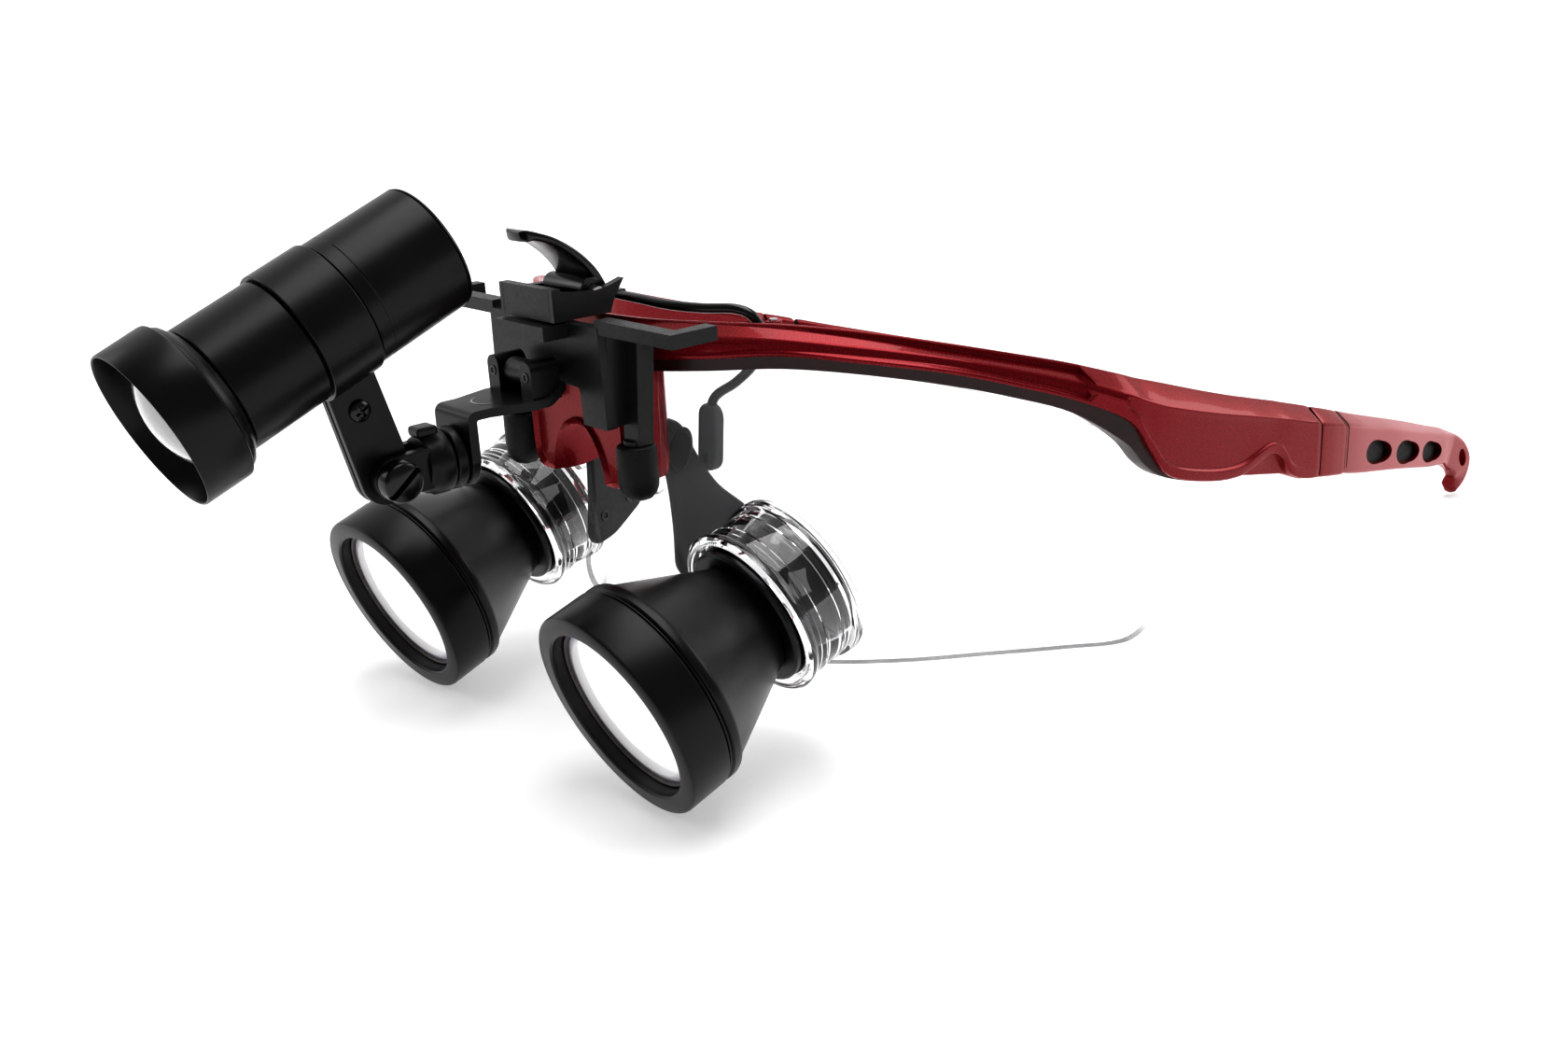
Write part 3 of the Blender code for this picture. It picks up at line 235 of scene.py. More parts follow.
# The white base at low alpha is a painted reflection of the bright surroundings, a faint milky veil
# on the shields and carrier sleeves.
SHIELD = finish("shield_painted_reflection", (30, 2.0), (0.93, 0.95, 0.96), (1.0, 1.0, 1.0), (0.02, 0.04),
                Alpha=0.05, IOR=1.5)
# painted shade on the shields' cut edges
RIM_SHADE = shield_rim_shade()
RING = finish("clear_carrier_plastic", (120, 2.0), (0.97, 0.98, 0.985), (1.0, 1.0, 1.0),
              (0.012, 0.03), Transmission_Weight=1.0, IOR=1.49)
# painted reflection and glow on the objective and eyepiece glass
LENS_REFLECTION_GLOW = objective_painted_reflection()
LAMP_GLASS = finish("lamp_lens_glass", (90, 2.0), (0.62, 0.63, 0.62), (0.80, 0.80, 0.79),
                    (0.05, 0.12), Transmission_Weight=0.55, IOR=1.5, Coat_Weight=1.0,
                    Coat_Roughness=0.03)
RETAINER = finish("retainer_ring", (800, 2.0), (0.045, 0.038, 0.036), (0.085, 0.072, 0.066),
                  (0.28, 0.4), bump=(0.00001, 0.4), Metallic=0.5)
STEEL = finish("turned_steel", (900, 2.0), (0.42, 0.42, 0.43), (0.62, 0.62, 0.63), (0.22, 0.36),
               bump=(0.00001, 0.3), Metallic=1.0)
LED = finish("led_phosphor", (1500, 2.0), (0.70, 0.62, 0.22), (0.85, 0.80, 0.45), (0.4, 0.6))
CAD_LOOK = {
    "red_paint": RED, "clear_plastic": RING, "optical_glass": LENS_REFLECTION_GLOW,
    "black_anodised": ANODISED, "black_metal": GLOSS, "clip_plastic": PLASTIC,
    "black_rubber": SLEEVE, "nose_rubber": NOSE, "steel": STEEL, "led_board": LED,
}


# ---- mesh helpers

def add_object(name, data):
    obj = bpy.data.objects.new(name, data)
    bpy.context.scene.collection.objects.link(obj)
    return obj


def mesh_from(bm, name):
    mesh = bpy.data.meshes.new(name)
    bm.to_mesh(mesh)
    bm.free()
    return mesh


def shown(name, mesh, materials, node, *replaced, matrix=None):
    """A piece that rides with a CAD node's body and may stand for CAD nodes."""
    obj = add_object(name, mesh)
    for material in materials if isinstance(materials, list) else [materials]:
        mesh.materials.append(material)
    if matrix:
        obj.matrix_world = matrix
    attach(obj, BODY_OF[node])
    if replaced:
        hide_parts(*replaced)
    return obj


def smooth(mesh, angle=35):
    mesh.shade_smooth()
    mesh.set_sharp_from_angle(angle=radians(angle))
    return mesh


def modify(obj, kind, **settings):
    modifier = obj.modifiers.new(kind.lower(), kind)
    for key, value in settings.items():
        setattr(modifier, key, value)
    return obj


def bevel(obj, width, segments=2):
    return modify(obj, "BEVEL", width=width * MM, segments=segments, limit_method="ANGLE",
                  angle_limit=radians(35), harden_normals=True)


def axis_frame(point, direction):
    """Axes at a point, z along a direction."""
    z = Vector(direction).normalized()
    x = Vector(Y if abs(z.z) > 0.99 else Z).cross(z).normalized()
    return Matrix.Translation(place(point)) @ Matrix((x, z.cross(x), z)).transposed().to_4x4()


def circle(count):
    """(cosine, sine) pairs once round."""
    return [(cos(2 * pi * i / count), sin(2 * pi * i / count)) for i in range(count)]


def tube(outer, inner, low, high):
    """The profile of a plain tube between two heights."""
    return [(outer, high), (outer, low), (inner, low), (inner, high)]


def turned(name, profile, point, direction, material, node, *replaced, steps=None, edge=0.15):
    """A turned piece from (radius, height) points that run down the outside, then up inside."""
    steps = steps or (SMALL_STEPS if max(profile)[0] < SMALL_R else TURN_STEPS)
    bm = bmesh.new()
    rings = []
    for radius, height in profile:
        if radius < 1e-6:
            rings.append([bm.verts.new((0, 0, height * MM))] * steps)
        else:
            rings.append([bm.verts.new((radius * MM * c, radius * MM * s, height * MM))
                          for c, s in circle(steps)])
    for first, second in zip(rings, rings[1:] + rings[:1]):
        for i in range(steps):
            k = (i + 1) % steps
            corners = [first[i], first[k], second[k], second[i]]
            face = [v for j, v in enumerate(corners) if v not in corners[:j]]
            if len(face) > 2:
                bm.faces.new(face)
    bmesh.ops.recalc_face_normals(bm, faces=bm.faces)
    obj = shown(name, smooth(mesh_from(bm, name)), material, node, *replaced,
                matrix=axis_frame(point, direction))
    return bevel(obj, edge) if edge else obj


def skin(name, rings, angle=35):
    """A closed mesh over rings of equally many points."""
    bm = bmesh.new()
    rows = [[bm.verts.new(place(point)) for point in ring] for ring in rings]
    count = len(rows[0])
    for first, second in zip(rows, rows[1:]):
        for i in range(count):
            k = (i + 1) % count
            bm.faces.new((first[i], first[k], second[k], second[i]))
    bm.faces.new(rows[0])
    bm.faces.new(rows[-1])
    bmesh.ops.recalc_face_normals(bm, faces=bm.faces)
    return smooth(mesh_from(bm, name), angle)


def rounded(corners, pieces=3):
    """A closed outline with its corners rounded: each corner is (u, v, radius)."""
    points = []
    count = len(corners)
    for i, (u, v, radius) in enumerate(corners):
        here = Vector((u, v))
        before = Vector(corners[i - 1][:2]) - here
        after = Vector(corners[(i + 1) % count][:2]) - here
        reach = min(radius, before.length * CORNER_SHARE, after.length * CORNER_SHARE)
        start, end = here + before.normalized() * reach, here + after.normalized() * reach
        for k in range(pieces + 1):
            t = k / pieces
            points.append(start * (1 - t) ** 2 + here * 2 * t * (1 - t) + end * t * t)
    return points


def slab_mesh(outline, thickness, plane, origin=(0, 0, 0)):
    """A flat outline in the plane "yz", "xz" or "xy", thickened to both sides of origin."""
    u, v, w = (Vector(axis) for axis in PLANES[plane])
    half = w * (thickness / 2)
    middle = Vector(origin)
    return skin("slab", [[middle + u * p[0] + v * p[1] + shift for p in outline]
                         for shift in (-half, half)])


def box_mesh(low, high):
    outline = [(low[0], low[1]), (high[0], low[1]), (high[0], high[1]), (low[0], high[1])]
    return slab_mesh(outline, high[2] - low[2], "xy", (0, 0, (low[2] + high[2]) / 2))


def slab(name, outline, thickness, plane, material, node, *replaced, edge=0.25, segments=2,
         origin=(0, 0, 0)):
    obj = shown(name, slab_mesh(outline, thickness, plane, origin), material, node, *replaced)
    return bevel(obj, edge, segments) if edge else obj


def box(name, low, high, material, node, *replaced, edge=0.25):
    return bevel(shown(name, box_mesh(low, high), material, node, *replaced), edge)


def fused(name, meshes, material, node, *replaced, edge=0.2):
    """Overlapping meshes joined into one skin, with its edges rounded."""
    tools = [hidden_cutter("part_%d" % i, mesh) for i, mesh in enumerate(meshes)]
    body = apply_booleans(tools[0], tools[1:], "UNION")
    mesh = body.data
    mesh.materials.clear()
    bpy.data.objects.remove(body, do_unlink=True)
    return bevel(shown(name, smooth(mesh), material, node, *replaced), edge)


def arc(centre, radius, start, end, count):
    angles = [radians(start + (end - start) * i / count) for i in range(count + 1)]
    return [(centre[0] + radius * cos(a), centre[1] + radius * sin(a)) for a in angles]


def catmull(points, pieces):
    """Catmull-Rom points through tuples or vectors; pieces may be one count or one per gap."""
    points = [Vector(point) for point in points]
    last = len(points) - 1
    counts = pieces if isinstance(pieces, list) else [pieces] * last
    line = []
    for i in range(last):
        p0, p1 = points[max(i - 1, 0)], points[i]
        p2, p3 = points[i + 1], points[min(i + 2, last)]
        for k in range(counts[i]):
            t = k / counts[i]
            line.append(0.5 * (2 * p1 + (p2 - p0) * t + (2 * p0 - 5 * p1 + 4 * p2 - p3) * t * t
                               + (3 * p1 - 3 * p2 + p3 - p0) * t * t * t))
    line.append(points[last])
    return line


def hidden_cutter(name, mesh, matrix=None):
    """A tool for a Boolean, never shown."""
    obj = add_object(name, mesh)
    if matrix:
        obj.matrix_world = matrix
    obj.hide_render = True
    obj.display_type = "WIRE"
    return obj


def apply_booleans(obj, tools, operation="DIFFERENCE"):
    """Runs the Booleans, keeps their result as the piece's mesh and removes the tools."""
    for tool in tools:
        modify(obj, "BOOLEAN", operation=operation, solver="EXACT", object=tool)
    bpy.context.view_layer.update()
    shaped = obj.evaluated_get(bpy.context.evaluated_depsgraph_get())
    result = bpy.data.meshes.new_from_object(shaped)
    obj.modifiers.clear()
    obj.data = result
    for tool in tools:
        bpy.data.objects.remove(tool, do_unlink=True)
    return obj


# ---- frame front

# Right half: x, y, facing (degrees), heights of top, ridge, lower edge and band, depth
FRONT_SECTIONS = (
    (0.0, 21.5, 0, 62.3, 60.0, 57.0, 55.0, 5.0),
    (11.5, 22.5, 10, 62.5, 60.3, 57.3, 55.3, 5.0),
    (22.7, 25.5, 20, 62.8, 60.8, 58.1, 56.2, 5.0),
    (33.2, 30.4, 30, 62.8, 61.0, 59.0, 57.0, 5.0),
    (42.7, 37.1, 40, 61.8, 60.0, 58.0, 56.2, 4.8),
    (50.9, 45.3, 50, 59.8, 58.2, 56.2, 54.3, 4.8),
    (56.4, 52.8, 58, 57.8, 56.0, 53.7, 51.9, 4.8),
    (60.6, 60.0, 66, 55.8, 53.6, 51.0, 49.0, 4.8),
    (64.8, 66.5, 76, 53.7, 50.8, 47.4, 44.1, 5.2),
    (65.8, 70.0, 80, 52.5, 49.2, 42.6, 40.2, 4.9),
    (66.4, 74.0, 83, 51.3, 47.7, 38.0, 37.6, 4.6),
    (67.0, 83.0, 87, 48.5, 45.1, 35.2, 35.0, 4.2),
    (67.3, 90.0, 88, 46.4, 43.3, 34.4, 34.2, 4.0),
    (67.45, 94.0, 88.5, 45.3, 42.3, 35.3, 33.4, 3.9),
    (67.55, 98.0, 89, 44.2, 41.3, 36.1, 32.6, 3.9),
    (67.7, 101.0, 89.5, 43.4, 40.5, 34.6, 32.0, 3.8),
    (67.8, 103.0, 90, 42.8, 40.0, 31.8, 31.5, 3.8),
    (67.9, 106.5, 90, 41.8, 39.0, 30.2, 30.0, 3.8),
    (68.0, SEAM_Y - 0.35, 90, 40.7, 38.1, 29.5, 29.3, 3.8),
)
FRONT_PIECES = [5, 5, 5, 5, 5, 5, 5, 9, 6, 4, 5, 4, 3, 3, 3, 3, 3, 3]
STEP_X = 61.9
PANEL_DEPTH = 1.0
PANEL_START_X = 20.0
PANEL_FADE = 30.0
PANEL_LEAST = 0.12
SHOULDER_X = 64.6
SHOULDER_RISE = 0.25
FACE_DEPTH = 0.45
FACE_END_X = 68.0
FACE_FADE = 0.6
CORNER_POINTS = 4
BAND_CORNERS = (7, 9)
BAND_END_Y = 77.0


def panel_inset(x):
    """How deep the brow's panel lies: a little in the middle, a clear step at its outer end."""
    if x < STEP_X:
        return PANEL_DEPTH * min(max((x - PANEL_START_X) / PANEL_FADE, PANEL_LEAST), 1.0)
    if x < SHOULDER_X:
        return -SHOULDER_RISE
    return FACE_DEPTH * min(max((FACE_END_X - x) / FACE_FADE, 0.0), 1.0)


def upright_ring(x, y, facing, outline):
    """An outline of (outward, height) points, set upright where the surface faces an angle."""
    outward = Vector((sin(radians(facing)), -cos(radians(facing)), 0))
    return [Vector((x, y, 0)) + outward * p.x + Vector((0, 0, p.y)) for p in outline]


def brow_ring(row):
    """The brow's outline: crest, panel with its rim, lip, groove band and back."""
    x, y, facing, top, ridge, low, band, depth = row
    sunk = panel_inset(x)
    lip = 0.55 if x < STEP_X else 1.5
    crown = min(3.5, depth - 1.0)
    inner = min(1.2, depth / 3)
    crest, edge = Vector((-crown, top)), Vector((-0.15, ridge + 0.3))
    into = Vector((-(crest.y - edge.y), crest.x - edge.x)).normalized() * sunk
    if x < STEP_X:
        rim = crest.lerp(edge, 0.1)
        floor, turn = rim + into, edge + Vector((-sunk, -0.35 * sunk))
    else:
        rim, floor, turn = crest.lerp(edge, 0.85), edge, Vector((-sunk, ridge - 0.5))
    corners = (
        (*crest, 1.3), (*rim, 0.25), (*floor, 0.5), (*turn, 0.9),
        (-sunk, low + lip + 0.35, 0.25), (0, low + lip, 0.25), (-0.1, low, 0.3),
        (-inner, low - 0.05, 0.1), (-inner, min(band, low - 0.1), 0.3),
        (-depth + 0.3, min(band, low - 0.1), 0.5), (-depth, low + 0.8, 0.6),
        (-depth, top - 1.4, 0.8), (-depth + 0.7, top - 0.15, 0.5))
    return upright_ring(x, y, facing, rounded(corners, CORNER_POINTS - 1))


def shrunk(ring, amount, shift):
    """A ring pulled in towards its own middle and moved along y, for a rounded end."""
    middle = sum(ring, Vector()) / len(ring)
    size = max((point - middle).length for point in ring)
    return [middle + (point - middle) * (1 - amount / size) + Vector((0, shift, 0))
            for point in ring]


def side_rings(rings, side):
    return [[Vector((side * p.x, p.y, p.z)) for p in ring] for ring in rings]


def front_half(side):
    rings = [brow_ring(row) for row in catmull(FRONT_SECTIONS, FRONT_PIECES)]
    return side_rings(rings + [shrunk(rings[-1], 0.15, 0.15)], side)


def shade_groove_band(mesh, ring_size, ring_count):
    """Gives the groove band, which lies between known corners of every ring, its own material: a
    dark brown copy of the red as painted shade.
    """
    first, last = (corner * CORNER_POINTS for corner in BAND_CORNERS)
    for index in range(ring_count - 1):
        for k in range(first, last + 1):
            face = mesh.polygons[index * ring_size + k]
            if face.center.y < (BAND_END_Y + FACE_Y) * MM:
                face.material_index = 1


def hinge_part(prefix, suffix, side, z_span, y_span, node):
    """A knuckle round the hinge's pin, and the leaf that joins it to its piece."""
    x = side * HINGE_X
    near, far = sorted((x, x + side * 3))
    turned(prefix + "_knuckle_" + suffix, tube(1.9, 1.0, *z_span), (x, SEAM_Y, 0), Z, RED, node)
    box(prefix + "_leaf_" + suffix, (near, y_span[0], z_span[0]), (far, y_span[1], z_span[1]),
        RED, node)


def make_front():
    rings = front_half(-1)[:0:-1] + front_half(1)
    mesh = skin("front_frame_shell", rings)
    shown("front_frame_shell", mesh, [RED, GROOVE_SHADE], "front_frame", "front_frame")
    shade_groove_band(mesh, len(rings[0]), len(rings))
    make_bridge()
    for side, word in SIDES:
        for level, z_span in enumerate(((30.6, 33.0), (37.0, 39.4))):
            hinge_part("hinge", "%s_%d" % (word, level), side, z_span,
                       (SEAM_Y - 4.2, SEAM_Y - 1.2), "front_frame")


BRIDGE_ARCH_HALF = 6.8
BRIDGE_HALF = 11.6
BRIDGE_LOW = 38.5
# y, spread of the sides, drop of the lower edge, widening of the arch, its top
BRIDGE_SECTIONS = ((18.8, -0.6, -0.6, 0.6, 46.6), (18.35, -0.2, -0.2, 0.2, 47.2),
                   (18.2, 0.0, 0.0, -0.1, 47.6), (20.4, 0.1, 0.2, -0.7, 48.2),
                   (23.0, 0.2, 0.3, -0.6, 48.2), (26.6, 0.0, 0.1, 0.0, 47.8),
                   (27.2, -0.6, -0.5, 0.6, 47.2))


def bridge_ring(y, spread, drop, widening, arch_top):
    """The saddle's outline at one depth, with the nose arch cut into it."""
    low = BRIDGE_LOW - drop
    arch_half = BRIDGE_ARCH_HALF + widening
    steps = 14
    arch = [(-arch_half * cos(pi * i / steps),
             low + (arch_top - low) * max(sin(pi * i / steps), 0) ** 1.2)
            for i in range(steps + 1)]
    half = BRIDGE_HALF + spread
    side = [(half - 2.0, low), (half - 0.9, low + 0.5), (half - 0.2, low + 2.0),
            (half, 43.0), (half, 50.0), (half, 58.0)]
    points = arch + side + [(-x, z) for x, z in reversed(side)]
    return [Vector((x, y, z)) for x, z in points]


def make_bridge():
    rings = [bridge_ring(*section) for section in BRIDGE_SECTIONS]
    shown("bridge_saddle", skin("bridge_saddle", rings, angle=30), RED, "front_frame")


# ---- temples

# x, y, facing, heights of top, ridge and lower edge, depth
COLLAR_SECTIONS = (
    (68.0, SEAM_Y + GAP, 90, 40.6, 38.0, 29.3, 3.8),
    (67.95, SEAM_Y + 4.0, 93, 39.6, 37.0, 28.6, 3.8),
    (67.6, SEAM_Y + 8.1, 96, 38.4, 36.0, 27.8, 3.8),
)
ARM_SECTIONS = (
    (67.1, SEAM_Y + 9.1, 97, 38.1, 35.8, 27.7, 3.4),
    (65.7, 127.0, 101, 35.9, 33.6, 25.7, 3.3),
    (62.9, 139.0, 103, 32.4, 30.2, 22.7, 3.2),
    (60.1, 151.0, 104, 28.9, 26.8, 19.7, 3.1),
    (57.0, 163.0, 104, 25.3, 23.3, 16.5, 2.9),
    (53.9, 175.0, 104, 21.6, 19.9, 13.3, 2.8),
    (51.2, 186.0, 104, 18.3, 16.7, 10.9, 2.6),
)
# x, y, z, slope (degrees), half height
TIP_SECTIONS = (
    (49.3, 192.0, 12.3, -20, 3.5),
    (48.6, 197.2, 9.9, -32, 3.7),
    (48.0, 200.8, 6.6, -62, 3.6),
    (47.4, 201.3, 3.7, -100, 2.9),
    (46.9, 199.9, 1.6, -140, 1.9),
)
# x, y, z, half length, half height, lean (degrees)
TEMPLE_HOLES = ((63.2, 138.0, 26.5, 7.2, 1.9, -15), (58.6, 156.8, 21.4, 7.8, 1.9, -15),
                (53.8, 175.2, 16.4, 7.2, 1.8, -15), (48.2, 199.0, 8.6, 2.5, 1.2, -46))
HOLE_TOOL = ((-7.6, 0.6), (-1.4, 0.0), (-0.2, 0.0), (4.4, 2.2))
HOLE_SHADE_LEVELS = ((-2.4, 0.2), (-1.2, 0.2), (-1.05, 0.0))
HOLE_SHADE_SLANT = 0.26


def temple_ring(row):
    x, y, facing, top, ridge, low, depth = row
    corners = ((-0.1, low, 0.7), (0, ridge, 0.7), (-min(2.6, depth - 0.7), top, 0.9),
               (-depth, top - 0.7, 0.7), (-depth, low, 0.7))
    return upright_ring(x, y, facing, rounded(corners, 4))


def tip_ring(row):
    x, y, z, slope, half = row
    inward = Vector((-0.97, -0.24, 0))
    across = Vector((0.0, -sin(radians(slope)), cos(radians(slope))))
    corners = ((-half, 0.1, 0.7), (half - 0.9, 0.0, 0.7), (half, 1.5, 0.9), (half - 0.5, 2.4, 0.7),
               (-half, 2.4, 0.7))
    return [Vector((x, y, z)) + across * p.x + inward * p.y for p in rounded(corners, 4)]


def oval_rings(side, hole, levels, slant, steps):
    """Rings of a leaning oval hole at (offset, growth) levels across the temple."""
    x, y, z, long_half, short_half, lean = hole
    c, s = cos(radians(lean)), sin(radians(lean))
    rings = []
    for offset, grow in levels:
        ring = []
        for a, b in circle(steps):
            u, v = (long_half + grow) * a, (short_half + grow) * b
            across, rise = u * c - v * s, u * s + v * c
            ring.append(Vector((side * (x + offset - slant * across), y + across, z + rise)))
        rings.append(ring)
    return rings


def seam_shade_core(name, section, word, side, start, end, node):
    """A dark core inside a seam as painted shade, between two shifts of a section along y."""
    core = temple_ring(section)
    rings = side_rings([shrunk(core, 0.4, start), shrunk(core, 0.4, end)], side)
    shown(name + "_" + word, skin(name, rings), SEAM_HOLE_SHADE, node)


def make_temple(side, word):
    rings = [temple_ring(row) for row in catmull(COLLAR_SECTIONS, 5)]
    rings[0], rings[-1] = shrunk(rings[0], 0.12, 0.0), shrunk(rings[-1], 0.12, 0.0)
    collar, node = "temple_collar_" + word, "temple_" + word
    shown(collar + "_shell", skin(collar, side_rings(rings, side)), RED, collar, collar)
    hinge_part("collar", word, side, (33.3, 36.7), (SEAM_Y + 1.2, SEAM_Y + 4.0), collar)
    # dark cores as painted shade in the seams at both ends of the collar
    seam_shade_core("temple_seam_shade", ARM_SECTIONS[0], word, side, -1.9, 0.9, collar)
    seam_shade_core("hinge_seam_shade", COLLAR_SECTIONS[0], word, side, -1.1, 0.3, "front_frame")

    rings = [temple_ring(row) for row in catmull(ARM_SECTIONS, 4)]
    rings[0] = shrunk(rings[0], 0.12, 0.0)
    rings += [tip_ring(row) for row in catmull(TIP_SECTIONS, 6)]
    rings.append(shrunk(rings[-1], 0.5, -0.3))
    arm = shown(node + "_shell", skin(node, side_rings(rings, side), angle=50), RED, node, node)
    apply_booleans(arm, [
        hidden_cutter("oval_tool", skin("oval_tool", oval_rings(side, hole, HOLE_TOOL, 0.0, 40)))
        for hole in TEMPLE_HOLES])
    smooth(arm.data, 40)
    # dark walls inside the three long holes, as painted shade
    for number, hole in enumerate(TEMPLE_HOLES[:3]):
        rings = oval_rings(side, hole, HOLE_SHADE_LEVELS, HOLE_SHADE_SLANT, 36)
        shown("hole_liner_%s_%d" % (word, number), skin("hole_painted_shade", rings), SEAM_HOLE_SHADE, node)


# ---- clear shields

SHIELD_LOW = ((6.3, 35.4), (7.3, 29.5), (8.4, 23.7), (11, 17.0), (16, 12.6), (22, 11.0),
              (30, 10.6), (42, 11.3), (55, 11.8), (67, 11.0), (76, 9.6), (80, 9.8),
              (82.5, 12.0), (83.6, 16.0))
SHIELD_HIGH = ((6.3, 37.4), (10.6, 37.8), (11.2, 57.4), (20, 57.4), (30, 57.0), (40, 56.0),
               (50, 54.1), (58, 51.1), (66, 45.2), (71, 40.4), (74.5, 37), (78, 34.6),
               (81.5, 29.5), (83.6, 23.5))
SHIELD_ROWS = 24
SHIELD_COLUMNS = 90
SHIELD_CROWDING = 1.25
SHIELD_THICKNESS = 0.9
SHIELD_RADIUS = 64.8
SHIELD_BULGE = 0.005
SHIELD_MIDDLE_Z = 45.0
SHIELD_BORE_R = 13.05
BORE_LENGTH = 60
BORE_SHIFT = 35


def height_at(table, angle):
    """Smooth value of a table of (angle, height) points."""
    line = catmull(table, 6)
    for first, second in zip(line, line[1:]):
        if angle <= second.x:
            share = max(angle - first.x, 0) / (second.x - first.x)
            return first.y + (second.y - first.y) * share
    return line[-1].y


def shield_point(side, angle, z):
    radius = SHIELD_RADIUS - SHIELD_BULGE * (z - SHIELD_MIDDLE_Z) ** 2
    return Vector((side * radius * sin(radians(angle)),
                   WRAP_CENTRE_Y - radius * cos(radians(angle)), z))


def make_shield(side, word):
    """A curved clear shield with painted shade on its cut edge; its columns crowd towards the nose.
    """
    first, last = SHIELD_LOW[0][0], SHIELD_LOW[-1][0]
    bm = bmesh.new()
    grid = []
    for i in range(SHIELD_COLUMNS + 1):
        angle = first + (last - first) * (i / SHIELD_COLUMNS) ** SHIELD_CROWDING
        low, high = height_at(SHIELD_LOW, angle), height_at(SHIELD_HIGH, angle)
        heights = [low + (high - low) * k / SHIELD_ROWS for k in range(SHIELD_ROWS + 1)]
        grid.append([bm.verts.new(place(shield_point(side, angle, z))) for z in heights])
    for a, b in zip(grid, grid[1:]):
        for k in range(SHIELD_ROWS):
            corners = (a[k], b[k], b[k + 1], a[k + 1])
            bm.faces.new(corners if side > 0 else corners[::-1])
    node = "lens_" + word
    shield = shown("shield_" + word, mesh_from(bm, "shield_" + word), [SHIELD, RIM_SHADE], node, node)
    modify(shield, "SOLIDIFY", thickness=SHIELD_THICKNESS * MM, offset=-1.0,
           material_offset_rim=1)
    apply_booleans(shield, [bore_tool(side)])
    smooth(shield.data, 40)


def bore_tool(side):
    """A cylinder along a magnifier's axis."""
    bm = bmesh.new()
    radius = SHIELD_BORE_R * MM
    bmesh.ops.create_cone(bm, cap_ends=True, segments=96, radius1=radius, radius2=radius,
                          depth=BORE_LENGTH * MM)
    shift = Matrix.Translation((0, 0, BORE_SHIFT * MM))
    return hidden_cutter("bore_tool", mesh_from(bm, "bore_tool"),
                         axis_frame(*loupe_axis(side)) @ shift)


# ---- magnifiers

def loupe_axis(side):
    height = BEZEL_R * cos(DECLINATION) - 0.5 * sin(DECLINATION)
    level = cos(DECLINATION)
    direction = (side * sin(CONVERGENCE) * level, cos(CONVERGENCE) * level, sin(DECLINATION))
    return (side * PUPIL_DISTANCE / 2, 0.0, height), direction


def make_loupe(side, word):
    point, direction = loupe_axis(side)

    def ring(name, profile, material, node, replaced=True, edge=0.1):
        node += "_" + word
        turned(name + "_" + word, profile, point, direction, material, node, *[node] * replaced,
               edge=edge)

    ring("bezel_shell", [
        (15.55, 6.8), (15.55, 6.5), (15.98, 6.5), (16.0, 0.55), (15.9, 0.2), (15.6, 0.0),
        (13.35, 0.0), (13.05, 0.25), (13.0, 0.6), (13.0, 6.8)], ANODISED, "objective_bezel")
    ring("retainer", [(12.95, 3.4), (12.95, 2.1), (12.7, 1.95), (12.45, 2.1), (12.35, 2.6),
                      (12.35, 3.4)], RETAINER, "objective_bezel", False, edge=0.08)
    ring("objective_dome", [
        (0, 1.2), (3.0, 1.26), (6.0, 1.45), (9.0, 1.8), (11.0, 2.15), (12.1, 2.4), (12.6, 2.9),
        (12.6, 5.2), (0, 5.9)], LENS_REFLECTION_GLOW, "objective_lens", edge=0)
    ring("cone_shell", [
        (8.6, 23.6), (8.75, 23.3), (15.15, 9.35), (15.75, 8.9), (15.95, 8.4), (15.95, 7.45),
        (15.55, 7.2), (15.55, 6.95), (13.9, 6.95), (13.9, 9.0), (7.4, 23.6)], ANODISED,
        "cone_housing")
    ring("neck_ring", [(10.2, 25.3), (10.6, 24.9), (10.6, 24.2), (10.3, 23.9), (7.5, 23.9),
                       (7.5, 25.3)], ANODISED, "neck_flange")
    ring("eyepiece_shell", [
        (10.3, 35.2), (10.75, 34.8), (10.78, 25.7), (9.2, 25.7), (9.2, 34.0), (8.2, 34.0),
        (8.2, 35.2)], ANODISED, "eyepiece_tube")
    ring("eyepiece_dome", [(0, 33.3), (4.5, 33.2), (8.9, 32.9), (8.9, 31.2), (0, 30.6)],
         LENS_REFLECTION_GLOW, "eyepiece_lens", edge=0)
    ring("carrier_shell", [
        (12.45, 35.3), (12.8, 35.1), (12.95, 34.7), (12.9, 34.3), (12.62, 34.1), (12.62, 33.9),
        (12.85, 33.7), (12.8, 33.3), (12.35, 33.0), (12.3, 31.75), (12.42, 31.65), (12.42, 31.5),
        (12.3, 31.4), (12.3, 28.6), (12.4, 28.5), (12.4, 28.4), (12.3, 28.3), (12.3, 26.7),
        (12.6, 26.35), (12.9, 25.7), (12.85, 25.1), (12.5, 24.7), (12.0, 24.6), (11.55, 24.85),
        (11.3, 25.4), (11.3, 35.3)], RING, "carrier_ring", edge=0)
    ring("carrier_sleeve", [(12.2, 41.4), (12.3, 41.2), (12.3, 35.5), (11.5, 35.5), (11.5, 41.4)],
         SHIELD, "carrier_ring", False, edge=0)


# ---- nose pads

NOSE_FLARE = 13.5
NOSE_LEAN = (0.06, -0.12)
NOSE_OUTLINE = (
    (26.0, 47.4, 1.0), (28.6, 46.4, 1.6), (31.2, 41.2, 2.0), (34.6, 36.0, 2.0),
    (39.6, 31.8, 1.0), (40.3, 29.6, 0.8), (39.6, 26.6, 1.0), (33.4, 23.0, 1.5),
    (29.2, 22.4, 1.2), (27.8, 24.4, 1.2), (27.6, 30.0, 2.0), (26.9, 36.0, 2.0),
    (25.9, 41.0, 2.0), (25.4, 46.4, 0.8))


